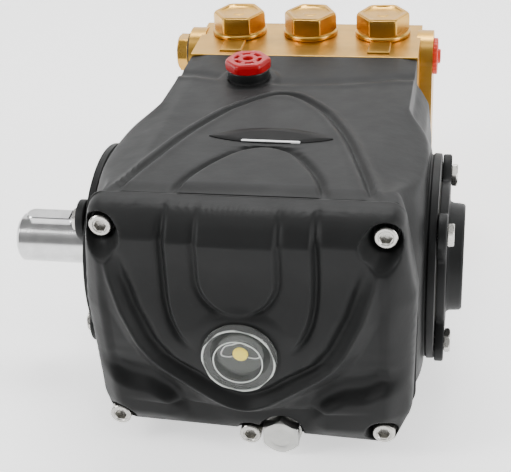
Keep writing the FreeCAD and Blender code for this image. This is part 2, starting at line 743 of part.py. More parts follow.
def make_crosshead(i):
    x = cylinder_x[i]
    y = wrist_y[i]
    skirt = cyl_y(crosshead_radius, y - crosshead_back, y + crosshead_front, x)
    skirt = skirt.makeChamfer(0.8, [e for e in skirt.Edges if e.BoundBox.YLength < 0.01])
    stem = cyl_y(stem_radius, y + crosshead_front, y + plunger_start, x)
    body = skirt.fuse(stem)
    slot_front = y + small_end_radius + crosshead_slot_gap
    trim = [
        block(x - cross_slot_half, x + cross_slot_half, y - crosshead_back - 1.0, slot_front, -30.0, 30.0),
        cyl_x(wrist_pin_radius + running_gap, x - 50.0, x + 50.0, y, 0.0),
        cyl_y(plunger_bolt_radius + thread_gap, y + plunger_start - 14.0, y + plunger_start + 1.0, x),
    ]
    export("crosshead_%d" % (i + 1), carve(body, trim))
    start = y + plunger_start
    sleeve = cyl_y(plunger_radius, start, start + plunger_length, x)
    sleeve = sleeve.makeChamfer(0.8, [e for e in sleeve.Edges if e.BoundBox.YMin > start + plunger_length - 0.01])
    sleeve = sleeve.cut(cyl_y(plunger_bolt_radius + thread_gap, start - 1.0, start + plunger_length + 1.0, x))
    export("plunger_%d" % (i + 1), sleeve)
    bolt = hex_screw(Vector(x, start + plunger_length, 0.0), (0, 1, 0), plunger_bolt_radius,
                     plunger_length + 12.0, plunger_bolt_head_af, plunger_bolt_head_height)
    export("plunger_bolt_%d" % (i + 1), bolt)


# ---------------------------------------------------------------- manifold
def manifold_body():
    top = manifold_top_z
    bottom = manifold_bottom_z
    body = prism_x([
        (body_front_y, top, 0.6), (front_plane_y, top, manifold_edge_round),
        (front_plane_y, bottom, manifold_edge_round), (body_front_y, bottom, 0.6),
    ], -manifold_half_width, manifold_half_width)
    parts = []
    for sign in (-1, 1):
        x0, x1 = sorted((sign * (manifold_half_width - 2.0), sign * port_pad_half_width))
        high = discharge_gallery_z + port_pad_radius
        low = suction_gallery_z - port_pad_radius
        turn = port_pad_radius - 0.2
        parts.append(prism_x([
            (valve_y - port_pad_radius, high, turn), (front_plane_y, high, turn),
            (front_plane_y, low, turn), (valve_y - port_pad_radius, low, turn),
        ], x0, x1))
        pad = block(sign * cylinder_pitch - 6.0, sign * cylinder_pitch + 6.0, body_front_y + 4.5,
                    body_front_y + 19.0, top - 1.0, top + 1.3)
        parts.append(pad.makeChamfer(0.5, [e for e in pad.Edges if e.BoundBox.ZMin > top + 1.2]))
    return body.fuse(parts)


def make_manifold():
    top = manifold_top_z
    bottom = manifold_bottom_z
    trim = []
    for x in cylinder_x:
        trim.append(cyl_y(seal_bore_radius + fit_gap, body_front_y - 1.0, body_front_y + seal_bore_depth, x))
        trim.append(cyl_y(chamber_radius, body_front_y, valve_y, x))
        trim.append(cyl_z(chamber_radius - 0.6, bottom + 10.0, top - 10.0, x, valve_y))
        trim.append(cyl_z(valve_bore_radius, discharge_seat_z, top + 1.0, x, valve_y))
        trim.append(cyl_z(valve_bore_radius, bottom - 1.0, suction_seat_z + seat_height, x, valve_y))
        trim.append(cyl_z(valve_thread_radius + thread_gap, top - valve_thread_length, top + 1.0, x, valve_y))
        trim.append(cyl_z(valve_thread_radius + thread_gap, bottom - 1.0, bottom + valve_thread_length, x, valve_y))
        seal_seat = cap_ring_radius + thread_gap
        trim.append(cyl_z(seal_seat, top - cap_ring_thickness, top + 1.0, x, valve_y))
        trim.append(cyl_z(seal_seat, bottom - 1.0, bottom + cap_ring_thickness, x, valve_y))
    far = port_pad_half_width + 1.0
    for z, radius in ((discharge_gallery_z, outlet_hole_radius), (suction_gallery_z, inlet_hole_radius)):
        trim.append(cyl_x(gallery_radius, -far, far, valve_y, z))
        for sign in (-1, 1):
            x0, x1 = sorted((sign * (port_pad_half_width - port_depth), sign * far))
            trim.append(cyl_x(radius, x0, x1, valve_y, z))
    head_radius = manifold_screw_radius * 1.65 + 0.4
    head_depth = manifold_screw_radius * 2.0
    screws = []
    for x in manifold_screw_columns:
        for z in manifold_screw_rows:
            trim.append(cyl_y(manifold_screw_radius + 0.25, body_front_y - 1.0, front_plane_y + 1.0, x, z))
            trim.append(cyl_y(head_radius, front_plane_y - head_depth, front_plane_y + 1.0, x, z))
            screws.append(socket_screw(Vector(x, front_plane_y - head_depth, z), (0, 1, 0), manifold_screw_radius,
                                       manifold_depth - head_depth + manifold_screw_grip, 6.0))
    export("manifold", carve(manifold_body(), trim))
    export("manifold_screws", *screws)


def valve_cap(x, turn_deg):
    """A domed hexagon cap with its thread and a windowed stem, drawn on the top face."""
    top = manifold_top_z
    collar = cyl_z(cap_collar_radius, top, top + cap_collar_height, x, valve_y)
    collar = collar.makeChamfer(0.8, [e for e in collar.Edges if e.BoundBox.ZMin > top + cap_collar_height - 0.01])
    start = Vector(x, valve_y, top + cap_collar_height)
    head = hexagon(start, Vector(0, 0, 1), cap_af, cap_hex_height, turn_deg)
    dome = Part.makeCone(cap_af * 0.72, cap_af * 0.475, cap_hex_height + 0.01, start, Vector(0, 0, 1))
    head = head.common(dome)
    dish = Part.makeSphere(40.0, Vector(x, valve_y, top + cap_collar_height + cap_hex_height + 38.6))
    thread = cyl_z(valve_thread_radius, top - valve_thread_length + 0.5, top, x, valve_y)
    stem = cyl_z(valve_bore_radius - fit_gap - 0.1, top - cap_stem_reach, top - valve_thread_length + 0.5, x, valve_y)
    body = collar.fuse([head.cut(dish), thread, stem])
    hollow = cyl_z(valve_bore_radius - 2.6, top - cap_stem_reach - 1.0, top - 5.0, x, valve_y)
    across = gallery_radius + 0.5
    return body.cut([hollow, cyl_x(across, x - 20.0, x + 20.0, valve_y, discharge_gallery_z)]).removeSplitter()


def flip_to_suction(shape):
    """Turns a top-face piece over onto the bottom face."""
    turned = shape.copy()
    turned.rotate(Vector(0, valve_y, (manifold_top_z + manifold_bottom_z) / 2.0), Vector(0, 1, 0), 180.0)
    return turned


def make_valve_caps():
    caps = []
    rings = []
    groove = cap_ring_thickness
    for i, x in enumerate(cylinder_x):
        for lower in (False, True):
            cap = valve_cap(-x if lower else x, cap_turns_deg[i])
            caps.append(flip_to_suction(cap) if lower else cap)
    export("valve_caps", *caps)
    for x in cylinder_x:
        low = manifold_top_z - groove
        ring = cyl_z(cap_ring_radius, low, manifold_top_z, x, valve_y)
        ring = ring.cut(cyl_z(valve_thread_radius + thread_gap, low - 1.0, manifold_top_z + 1.0, x, valve_y))
        rings.append(ring)
        rings.append(flip_to_suction(ring))
    export("valve_cap_seals", *rings)


def make_spring(x, z0, z1):
    """A helical spring of square wire between two levels, clear of both ends."""
    rise = z1 - z0 - 2.0 * spring_wire_radius - 0.1
    helix = Part.makeHelix(rise / spring_turns, rise, spring_coil_radius)
    wire = Part.Wire(helix.Edges)
    near = spring_coil_radius - spring_wire_radius
    far = spring_coil_radius + spring_wire_radius
    corners = [(near, -spring_wire_radius), (far, -spring_wire_radius), (far, spring_wire_radius), (near, spring_wire_radius)]
    section = Part.makePolygon([Vector(r, 0, z) for r, z in corners + corners[:1]])
    coil = wire.makePipeShell([section], True, True)
    coil.translate(Vector(x, valve_y, z0 + spring_wire_radius + 0.05))
    return Part.Solid(coil) if coil.ShapeType == "Shell" else coil


def make_valves():
    seats = []
    cages = []
    for i, x in enumerate(cylinder_x):
        z = discharge_seat_z
        seat = cyl_z(valve_bore_radius - fit_gap, z, z + seat_height, x, valve_y)
        seats.append(seat.cut(cyl_z(seat_bore_radius, z - 1.0, z + seat_height + 1.0, x, valve_y)))
        plate_z = z + seat_height
        export("discharge_valve_%d" % (i + 1), cyl_z(plate_radius, plate_z, plate_z + plate_thickness, x, valve_y))
        cages.append(valve_cage(x, plate_z, cage_height, valve_bore_radius - fit_gap))
        z = suction_seat_z
        seat = cyl_z(valve_bore_radius - fit_gap, z, z + seat_height, x, valve_y)
        seats.append(seat.cut(cyl_z(seat_bore_radius, z - 1.0, z + seat_height + 1.0, x, valve_y)))
        plate_z = z + seat_height
        export("suction_valve_%d" % (i + 1), cyl_z(plate_radius, plate_z, plate_z + plate_thickness, x, valve_y))
        cages.append(valve_cage(x, plate_z, suction_cage_height, suction_cage_radius))
    export("valve_seats", *seats)
    export("valve_cages", *cages)
    low = discharge_seat_z + seat_height + plate_thickness
    high = discharge_seat_z + seat_height + cage_height - cage_wall
    export("discharge_springs", *[make_spring(x, low, high) for x in cylinder_x])
    low = suction_seat_z + seat_height + plate_thickness
    high = suction_seat_z + seat_height + suction_cage_height - cage_wall
    export("suction_springs", *[make_spring(x, low, high) for x in cylinder_x])


def valve_cage(x, z, height, radius):
    """A cup over the plate, open on four sides and at the top."""
    cup = cyl_z(radius, z, z + height, x, valve_y)
    trim = [cyl_z(plate_radius + free_gap, z - 1.0, z + height - cage_wall, x, valve_y)]
    trim.append(cyl_z(2.6, z, z + height + 1.0, x, valve_y))
    window = height - cage_wall - 2.0
    trim.append(block(x - 30.0, x + 30.0, valve_y - 3.5, valve_y + 3.5, z + 1.5, z + 1.5 + window))
    trim.append(block(x - 3.5, x + 3.5, valve_y - 30.0, valve_y + 30.0, z + 1.5, z + 1.5 + window))
    return cup.cut(trim)


def make_seals():
    low = []
    rings = []
    high = []
    oil = []
    bore = plunger_radius + running_gap
    neck_front = body_front_y - 24.0
    for x in cylinder_x:
        y0 = body_front_y
        y1 = y0 + low_pressure_seal_length
        y2 = y1 + packing_ring_length
        y3 = y0 + seal_bore_depth
        for target, a, b in ((low, y0, y1), (rings, y1, y2), (high, y2, y3)):
            ring = cyl_y(seal_bore_radius, a, b, x)
            target.append(ring.cut(cyl_y(bore, a - 1.0, b + 1.0, x)))
        ring = cyl_y(12.0, neck_front, neck_front + 7.0, x)
        oil.append(ring.cut(cyl_y(stem_radius + running_gap, neck_front - 1.0, neck_front + 8.0, x)))
    export("plunger_seals", *(low + high))
    export("packing_rings", *rings)
    export("crosshead_seals", *oil)


def make_port_plugs(washers):
    plugs = []
    face = -port_pad_half_width
    for z, radius in ((discharge_gallery_z, outlet_hole_radius), (suction_gallery_z, inlet_hole_radius)):
        outer = plug_washer_radius + (radius - outlet_hole_radius)
        washer = cyl_x(outer, face - plug_washer_thickness, face, valve_y, z)
        washers.append(washer.cut(cyl_x(radius, face - 5.0, face + 1.0, valve_y, z)))
        start = Vector(face - plug_washer_thickness, valve_y, z)
        out = Vector(-1, 0, 0)
        af = plug_hex_af + 2.0 * (radius - outlet_hole_radius)
        collar = along(start, out, outer - 0.5, 2.2)
        head = hexagon(start, out, af, 2.0 + plug_hex_height, 0.0)
        crown = Part.makeCone(af * 0.70, af * 0.50, 2.01 + plug_hex_height, start, out)
        thread = along(start, out * -1.0, radius - thread_gap, plug_thread_length)
        plugs.append(head.common(crown).fuse([collar, thread]).removeSplitter())
    export("port_plugs", *plugs)
    export("sealing_washers", *washers)
    face = port_pad_half_width
    flange = cyl_x(transit_flange_radius, face, face + transit_flange_thickness, valve_y, discharge_gallery_z)
    flange = flange.makeFillet(0.8, [e for e in flange.Edges
                                     if e.BoundBox.XMin > face + transit_flange_thickness - 0.01])
    stopper = cyl_x(outlet_hole_radius - free_gap, face - transit_body_length, face, valve_y, discharge_gallery_z)
    hollow = cyl_x(outlet_hole_radius - free_gap - 1.4, face - transit_body_length - 1.0,
                   face + transit_flange_thickness - 1.2, valve_y, discharge_gallery_z)
    pull = cyl_x(4.0, face + 1.0, face + transit_flange_thickness + 1.6, valve_y, discharge_gallery_z)
    export("transit_plug", flange.fuse([stopper, pull]).cut(hollow).removeSplitter())


# ---------------------------------------------------------------- oil filler cap
def make_filler():
    z = filler_boss_top_z
    ring = cyl_z(filler_ring_radius, z, z + filler_ring_thickness, filler_x, filler_y)
    ring = ring.cut(cyl_z(filler_stem_radius + free_gap, z - 1.0, z + 5.0, filler_x, filler_y))
    export("filler_ring", ring)
    low = z + filler_ring_thickness
    collar = cyl_z(filler_collar_radius, low, low + filler_collar_height, filler_x, filler_y)
    stem = cyl_z(filler_stem_radius, z - filler_stem_length, low, filler_x, filler_y)
    bore = cyl_z(3.0, z - filler_stem_length - 1.0, low + filler_collar_height + 1.0, filler_x, filler_y)
    export("filler_collar", collar.fuse(stem).cut(bore).removeSplitter())
    start = Vector(filler_x, filler_y, low + filler_collar_height)
    up = Vector(0, 0, 1)
    head = hexagon(start, up, filler_hex_af, filler_hex_height, 10.0)
    crown = Part.makeCone(filler_hex_af * 0.60, filler_hex_af * 0.52, filler_hex_height + 0.01, start, up)
    head = head.common(crown)
    top = start.z + filler_hex_height
    trim = [cyl_z(2.6, top - 2.0, top + 1.0, filler_x, filler_y)]
    groove = cyl_z(6.4, top - 0.8, top + 1.0, filler_x, filler_y)
    trim.append(groove.cut(cyl_z(4.6, top - 1.0, top + 2.0, filler_x, filler_y)))
    peg = cyl_z(2.9, z - 4.0, start.z + 0.5, filler_x, filler_y)
    export("filler_cap", head.cut(trim).fuse(peg).removeSplitter())


def main():
    os.makedirs("parts", exist_ok=True)
    make_crankcase()
    make_rear_cover()
    washers = [make_sight_glass(), make_drain_plug()]
    make_side_covers()
    make_crankshaft()
    make_bearings()
    for i in range(3):
        make_con_rod(i)
        make_crosshead(i)
    make_manifold()
    make_valve_caps()
    make_valves()
    make_seals()
    make_port_plugs(washers)
    make_filler()


main()
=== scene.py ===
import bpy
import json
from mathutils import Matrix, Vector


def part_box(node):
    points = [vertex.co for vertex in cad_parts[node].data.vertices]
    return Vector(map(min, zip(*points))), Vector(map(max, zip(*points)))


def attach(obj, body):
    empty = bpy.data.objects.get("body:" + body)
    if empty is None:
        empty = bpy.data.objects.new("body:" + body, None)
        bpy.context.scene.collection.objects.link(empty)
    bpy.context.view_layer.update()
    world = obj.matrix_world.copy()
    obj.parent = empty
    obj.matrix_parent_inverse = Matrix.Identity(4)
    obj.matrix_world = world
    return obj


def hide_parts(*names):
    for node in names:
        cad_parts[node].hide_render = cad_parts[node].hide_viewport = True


bl_info = {
    "name": "Three-plunger pump",
    "version": (1, 0, 0),
    "blender": (4, 5, 0),
    "location": "3D View > Sidebar > Pump",
    "description": "Surfaces and finishes of a high-pressure plunger pump over its working parts",
    "category": "Object",
}

import json
import math

import bpy
import numpy as np
from bpy.props import FloatProperty, FloatVectorProperty, PointerProperty
from mathutils import Matrix

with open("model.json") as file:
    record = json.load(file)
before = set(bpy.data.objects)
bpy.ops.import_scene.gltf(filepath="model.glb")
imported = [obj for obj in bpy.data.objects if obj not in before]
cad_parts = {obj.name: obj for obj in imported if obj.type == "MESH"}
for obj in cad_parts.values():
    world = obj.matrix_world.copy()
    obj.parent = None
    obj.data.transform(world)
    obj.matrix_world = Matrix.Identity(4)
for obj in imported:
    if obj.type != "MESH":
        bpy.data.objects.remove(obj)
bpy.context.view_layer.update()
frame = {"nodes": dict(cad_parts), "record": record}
JOINT_PLACE = {j["name"]: j.get("pos_m") for j in frame["record"]["behaviour"]["joints"]}
CRANK = np.array(JOINT_PLACE["crank_spin"])
FILLER = np.array(JOINT_PLACE["filler_turn"])
MM = 0.001
X_AXIS = (1.0, 0.0, 0.0)
Y_AXIS = (0.0, 1.0, 0.0)
Z_AXIS = (0.0, 0.0, 1.0)


# ---------------------------------------------------------------- number helpers
def ease(value, low, high):
    """0 below low, 1 above high, and the smooth cubic 3t^2 - 2t^3 between."""
    t = np.clip((value - low) / (high - low), 0.0, 1.0)
    return t * t * (3.0 - 2.0 * t)


def hump(value, width):
    """A bell of height 1 at zero: exp of minus the square of value over width."""
    return np.exp(-(value / width) ** 2)


def soft_table(places, values, spread):
    """A table read by straight lines and then averaged over the spread, so that it has no corners.
    Returns a function of an array."""
    low = min(places)
    high = max(places)
    grid = np.arange(low - 3.0 * spread, high + 3.0 * spread, 0.25)
    order = np.argsort(places)
    line = np.interp(grid, np.array(places)[order], np.array(values)[order])
    kernel = np.hanning(int(spread / 0.25) * 2 + 3)
    pad = len(kernel) // 2
    smooth = np.convolve(np.pad(line, pad, mode="edge"), kernel / kernel.sum(), mode="valid")
    return lambda at: np.interp(at, grid, smooth)


def blunt_least(first, second, width):
    """The smaller of two surfaces with the corner between them rounded over the width."""
    low = np.minimum(first, second)
    gap = np.abs(first - second)
    return low - width * np.log1p(np.exp(-gap / width)) + width * 0.02


def inside_of(half_width, across, along):
    """About how far a point is inside a symmetric outline whose half width is a table of the way along.
    The gap across is shortened by the outline's slope, as on a straight edge."""
    width = half_width(along)
    slope = (half_width(along + 0.5) - half_width(along - 0.5))
    return (width - np.abs(across)) / np.sqrt(1.0 + slope ** 2)


def rounded_outline(corners, count):
    """Closed outline through corners (u, v, radius) as count evenly spaced points. Each corner is a circular
    arc that touches both of its sides."""
    pieces = []
    total = len(corners)
    for k in range(total):
        here = np.array(corners[k][:2])
        back = np.array(corners[k - 1][:2]) - here
        ahead = np.array(corners[(k + 1) % total][:2]) - here
        back /= np.linalg.norm(back)
        ahead /= np.linalg.norm(ahead)
        half = 0.5 * math.acos(float(np.clip(back @ ahead, -1.0, 1.0)))
        radius = corners[k][2]
        middle = (back + ahead) / np.linalg.norm(back + ahead)
        centre = here + middle * radius / math.sin(half)
        start = here + back * radius / math.tan(half) - centre
        end = here + ahead * radius / math.tan(half) - centre
        a0 = math.atan2(start[1], start[0])
        sweep = (math.atan2(end[1], end[0]) - a0 + math.pi) % (2.0 * math.pi) - math.pi
        angle = a0 + sweep * np.linspace(0.0, 1.0, 24)
        pieces.append(centre + radius * np.stack([np.cos(angle), np.sin(angle)], axis=1))
    line = np.concatenate(pieces)
    closed = np.concatenate([line, line[:1]])
    length = np.concatenate([[0.0], np.cumsum(np.linalg.norm(np.diff(closed, axis=0), axis=1))])
    at = np.linspace(0.0, length[-1], count, endpoint=False)
    return np.stack([np.interp(at, length, closed[:, 0]), np.interp(at, length, closed[:, 1])], axis=1)


def mirrored(corners):
    """Half an outline's corners and then their mirror image, so that u changes sign."""
    return corners + [(-u, v, r) for u, v, r in reversed(corners)]


# ---------------------------------------------------------------- mesh helpers
def stitched(rows, looped=False):
    """Points and faces of a surface given as closed rings of equal count. A ring of no size becomes one
    point, and with looped the last ring joins the first. Faces point outwards by the sign of the volume
    they enclose, the sum of a . (b x c) over the triangles."""
    size = np.ptp(rows, axis=1).max(axis=1)
    index = np.zeros(rows.shape[:2], dtype=np.int64)
    kept = []
    count = 0
    for k in range(len(rows)):
        single = size[k] < 1e-7
        ring = rows[k, :1] if single else rows[k]
        index[k] = count if single else count + np.arange(rows.shape[1])
        kept.append(ring)
        count += len(ring)
    points = np.concatenate(kept)
    upper = index if looped else index[:-1]
    lower = np.roll(index, -1, axis=0) if looped else index[1:]
    quads = np.stack([upper, np.roll(upper, -1, axis=1), np.roll(lower, -1, axis=1), lower], axis=-1)
    quads = quads.reshape(-1, 4)
    top_point = quads[:, 0] == quads[:, 1]
    low_point = quads[:, 2] == quads[:, 3]
    tris = np.concatenate([quads[top_point][:, [0, 2, 3]], quads[low_point & ~top_point][:, [0, 1, 2]]])
    quads = quads[~(top_point | low_point)]
    halves = np.concatenate([quads[:, [0, 1, 2]], quads[:, [0, 2, 3]], tris])
    a, b, c = points[halves[:, 0]], points[halves[:, 1]], points[halves[:, 2]]
    if np.einsum("ij,ij->i", a, np.cross(b, c)).sum() < 0.0:
        quads = quads[:, ::-1]
        tris = tris[:, ::-1]
    return points, quads, tris


def rings(profile, centre, axis, around=96, start_deg=0.0):
    """A turned shape: profile rows (along, radius, across flats) about an axis through centre. Where the
    flats are given, the radius at an angle is the smaller of the row's radius and the rounded hexagon of
    those flats: half of them, over the 60th root of the sum of the 60th powers of the cosines to its six
    faces."""
    sharpness = 60.0
    axis = np.array(axis, dtype=float)
    side = np.array(Y_AXIS if abs(axis[0]) > 0.5 else X_AXIS)
    other = np.cross(axis, side)
    angle = np.linspace(0.0, 2.0 * math.pi, around, endpoint=False)
    table = np.array([(row[0], row[1], row[2] if len(row) > 2 else 0.0) for row in profile], dtype=float)
    faces = np.radians(30.0 + 60.0 * np.arange(6) + start_deg)
    cosine = np.maximum(np.cos(angle[:, None] - faces[None, :]), 0.0)
    reach = (cosine ** sharpness).sum(axis=1) ** (-1.0 / sharpness)
    hexagon = table[:, 2:3] * 0.5 * reach[None, :]
    radius = np.where(table[:, 2:3] > 0.0, np.minimum(table[:, 1:2], hexagon), table[:, 1:2])
    flat = side[None, :] * np.cos(angle)[:, None] + other[None, :] * np.sin(angle)[:, None]
    return np.array(centre) + table[:, 0][:, None, None] * axis + radius[:, :, None] * flat[None, :, :]


def softened(profile, cut, steps=4):
    """A profile whose inner corners are replaced by short parabolas that start the cut length before each
    corner, (1-t)^2 of the first point, 2t(1-t) of the corner and t^2 of the last."""
    rows = [tuple(profile[0]) + (0.0,) * (3 - len(profile[0]))]
    table = [np.array(tuple(p) + (0.0,) * (3 - len(p)), dtype=float) for p in profile]
    for k in range(1, len(table) - 1):
        back = table[k - 1] - table[k]
        ahead = table[k + 1] - table[k]
        near = min(cut, 0.45 * np.hypot(*back[:2]), 0.45 * np.hypot(*ahead[:2]))
        first = table[k] + back * near / max(np.hypot(*back[:2]), 1e-9)
        last = table[k] + ahead * near / max(np.hypot(*ahead[:2]), 1e-9)
        for t in np.linspace(0.0, 1.0, steps):
            point = (1 - t) ** 2 * first + 2 * t * (1 - t) * table[k] + t ** 2 * last
            rows.append((point[0], point[1], table[k][2]))
    rows.append(tuple(table[-1]))
    return rows


def turned(profile, centre, axis, cut=0.3, around=96, start_deg=0.0, looped=False):
    """One turned solid with softened corners."""
    rows = softened(profile, cut) if cut else profile
    return stitched(rings(rows, centre, axis, around, start_deg), looped)


def piece(name, shells, slot, nodes=(), body="pump_body", finish=None, crease_deg=38.0):
    """A mesh object from shells drawn in millimetres about the crank axis, set in place and tied to its
    body. It has the finish of its slot, unless another is named."""
    points = []
    faces = []
    base = 0
    for shell_points, quads, tris in shells:
        points.append(shell_points)
        faces.extend((quads + base).tolist())
        faces.extend((tris + base).tolist())
        base += len(shell_points)
    mesh = bpy.data.meshes.new(name)
    mesh.from_pydata((np.concatenate(points) * MM + CRANK).tolist(), [], faces)
    mesh.shade_smooth()
    mesh.set_sharp_from_angle(angle=math.radians(crease_deg))
    mesh.update()
    obj = bpy.data.objects.new(name, mesh)
    bpy.context.scene.collection.objects.link(obj)
    mesh.materials.append(finishes()[finish or slot])
    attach(obj, body)
    if nodes:
        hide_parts(*nodes)


# ---------------------------------------------------------------- shader helpers
class Tap:
    """A shader socket that adds, subtracts, multiplies and divides like a number."""

    def __init__(self, tree, socket):
        self.tree = tree
        self.socket = socket

    def math(self, operation, *values):
        node = self.tree.nodes.new("ShaderNodeMath")
        node.operation = operation
        for slot, value in zip(node.inputs, values):
            if isinstance(value, Tap):
                self.tree.links.new(value.socket, slot)
            else:
                slot.default_value = value
        return Tap(self.tree, node.outputs[0])

    def __add__(self, other):
        return self.math("ADD", self, other)

    def __radd__(self, other):
        return self.math("ADD", other, self)

    def __sub__(self, other):
        return self.math("SUBTRACT", self, other)

    def __rsub__(self, other):
        return self.math("SUBTRACT", other, self)

    def __mul__(self, other):
        return self.math("MULTIPLY", self, other)

    def __rmul__(self, other):
        return self.math("MULTIPLY", other, self)

    def __truediv__(self, other):
        return self.math("DIVIDE", self, other)

    def __rtruediv__(self, other):
        return self.math("DIVIDE", other, self)

    def clamped(self, low, high):
        """0 at low and 1 at high, held beyond them."""
        share = (self - low) * (1.0 / (high - low))
        return self.math("MINIMUM", self.math("MAXIMUM", share, 0.0), 1.0)


class Finish:
    """One material: node() makes any node, and the rest are the patterns that the finishes share."""

    def __init__(self, name):
        self.material = bpy.data.materials.new(name)
        self.material.use_nodes = True
        self.tree = self.material.node_tree
        self.tree.nodes.clear()

    def node(self, kind, settings=None, sockets=None):
        """A node of that type, its settings first and then its sockets' values or links."""
        made = self.tree.nodes.new(kind)
        for key, value in (settings or {}).items():
            if key == "stops":
                ramp = made.color_ramp
                while len(ramp.elements) < len(value):
                    ramp.elements.new(0.5)
                for element, (place, colour) in zip(ramp.elements, value):
                    element.position = place
                    element.color = colour
            else:
                setattr(made, key, value)
        for key, value in (sockets or {}).items():
            slot = made.inputs[key]
            if isinstance(value, Tap):
                self.tree.links.new(value.socket, slot)
            else:
                slot.default_value = value
        return made

    def tap(self, node, output=0):
        return Tap(self.tree, node.outputs[output])

    def place(self, stretch):
        """The point on the piece in metres, stretched along the axes."""
        where = self.tap(self.node("ShaderNodeTexCoord"), "Object")
        return self.tap(self.node("ShaderNodeMapping", None, {"Vector": where, "Scale": stretch}))

    def noise(self, scale, detail=3.0, stretch=(1.0, 1.0, 1.0)):
        """Soft clouds from 0 to 1, with scale of them to the metre."""
        sockets = {"Vector": self.place(stretch), "Scale": scale, "Detail": detail}
        return self.tap(self.node("ShaderNodeTexNoise", None, sockets))

    def blend(self, factor, first, second):
        """One colour turning into another."""
        node = self.node("ShaderNodeMix", {"data_type": "RGBA"}, {0: factor, 6: first, 7: second})
        return self.tap(node, 2)

    def bump(self, height, strength, depth, under=None):
        """Fine relief of that depth in metres, over another relief where one is given."""
        sockets = {"Height": height, "Strength": strength, "Distance": depth}
        if under is not None:
            sockets["Normal"] = under
        return self.tap(self.node("ShaderNodeBump", None, sockets))

    def surface(self, **sockets):
        """The principled shader with the given sockets, joined to the output."""
        named = {key.replace("_", " "): value for key, value in sockets.items()}
        shader = self.node("ShaderNodeBsdfPrincipled", None, named)
        output = self.node("ShaderNodeOutputMaterial")
        self.tree.links.new(shader.outputs[0], output.inputs[0])
        return self.material


def shade(colour, factor):
    """A lighter or darker colour, with full opacity added."""
    return tuple(min(1.0, c * factor) for c in colour[:3]) + (1.0,)


def painted_casting(name, colour):
    """Satin paint over sand-cast metal: fine orange-peel grain, slow swells, dust-grey in places."""
    f = Finish(name)
    grain = f.noise(1500.0, 2.0)
    swell = f.noise(95.0, 4.0)
    cloud = f.noise(28.0, 3.0)
    speck = f.noise(520.0, 2.0).clamped(0.70, 0.78)
    body = f.blend(cloud.clamped(0.3, 0.7), shade(colour, 0.86), shade(colour, 1.14))
    body = f.blend(speck * 0.35, body, shade(colour, 1.9))
    peel = f.bump(grain, 0.22, 0.00014)
    normal = f.bump(swell, 0.26, 0.0009, peel)
    return f.surface(Base_Color=body, Roughness=0.40 + swell * 0.16 + cloud * 0.06, Normal=normal,
                     Specular_IOR_Level=0.17)


def cast_brass(name, colour, grain_scale=900.0, rough=0.24):
    """Forged brass with a machined skin: warm and cool clouds, fine grain and darker pits."""
    f = Finish(name)
    cloud = f.noise(60.0, 4.0)
    grain = f.noise(grain_scale, 3.0)
    streak = f.noise(260.0, 3.0, (0.15, 1.0, 1.0))
    body = f.blend(cloud.clamped(0.32, 0.68), shade(colour, 0.80), shade(colour, 1.12))
    body = f.blend(streak.clamped(0.45, 0.75) * 0.35, body, shade((0.62, 0.40, 0.13), 1.0))
    normal = f.bump(grain, 0.10, 0.0001)
    return f.surface(Base_Color=body, Metallic=1.0, Roughness=rough + grain * 0.12 + cloud * 0.08,
                     Normal=normal)


def bright_metal(name, colour, rough=0.22, lines=(1.0, 1.0, 1.0), scale=900.0):
    """Bare or plated metal with fine lines along the way it was finished."""
    f = Finish(name)
    line = f.noise(scale, 2.0, lines)
    cloud = f.noise(130.0, 3.0)
    body = f.blend(cloud.clamped(0.3, 0.7), shade(colour, 0.86), shade(colour, 1.05))
    normal = f.bump(line, 0.08, 0.00006)
    return f.surface(Base_Color=body, Metallic=1.0, Roughness=rough + line * 0.10 + cloud * 0.06,
                     Normal=normal)


def moulded_plastic(name, colour, rough=0.32, shine=0.4):
    """Injection-moulded plastic: slight flow shading and a faint spark-eroded grain."""
    f = Finish(name)
    flow = f.noise(120.0, 3.0)
    grain = f.noise(2200.0, 2.0)
    body = f.blend(flow.clamped(0.3, 0.7), shade(colour, 0.88), shade(colour, 1.08))
    normal = f.bump(grain, 0.10, 0.00006)
    return f.surface(Base_Color=body, Roughness=rough + flow * 0.12, Normal=normal, Specular_IOR_Level=shine)


def nitrile(name, colour):
    """Oil-resistant rubber with a faint grey bloom."""
    f = Finish(name)
    bloom = f.noise(300.0, 3.0)
    body = f.blend(bloom.clamped(0.4, 0.8), shade(colour, 1.0), shade(colour, 1.6))
    return f.surface(Base_Color=body, Roughness=0.55 + bloom * 0.2, Normal=f.bump(bloom, 0.1, 0.0001))


def clear_moulding(name, colour):
    """Clear moulded window: glass with faint ripples from the tool."""
    f = Finish(name)
    ripple = f.noise(150.0, 2.0)
    return f.surface(Base_Color=shade(colour, 1.0), Roughness=0.05 + ripple * 0.05,
                     Alpha=0.04 + ripple * 0.16, IOR=1.49, Coat_Weight=0.6,
                     Normal=f.bump(ripple, 0.35, 0.0012))


def fired_ceramic(name, colour):
    """Ground and polished ceramic, nearly even in colour."""
    f = Finish(name)
    cloud = f.noise(200.0, 2.0)
    body = f.blend(cloud, shade(colour, 0.95), shade(colour, 1.03))
    return f.surface(Base_Color=body, Roughness=0.12 + cloud * 0.08, Coat_Weight=0.3,
                     Normal=f.bump(cloud, 0.03, 0.0001))


def glowing_fleck_plastic(name, colour):
    """Yellow float with flecks cast into it, and a painted glow from its emission that brightens it."""
    f = Finish(name)
    fleck = f.noise(1300.0, 2.0).clamped(0.52, 0.66)
    body = f.blend(fleck * 0.7, shade(colour, 1.0), (0.55, 0.36, 0.02, 1.0))
    # The emission is a painted glow: it brightens the dot, which gives no light of its own.
    return f.surface(Base_Color=body, Roughness=0.4 + fleck * 0.2, Normal=f.bump(fleck, 0.3, 0.0003),
                     Emission_Color=shade(colour, 1.0), Emission_Strength=0.42)


# ---------------------------------------------------------------- sizes and colours a user would change
def height(name, what, default, low, high):
    return FloatProperty(name=name, description=what + ", mm", default=default, min=low, max=high)


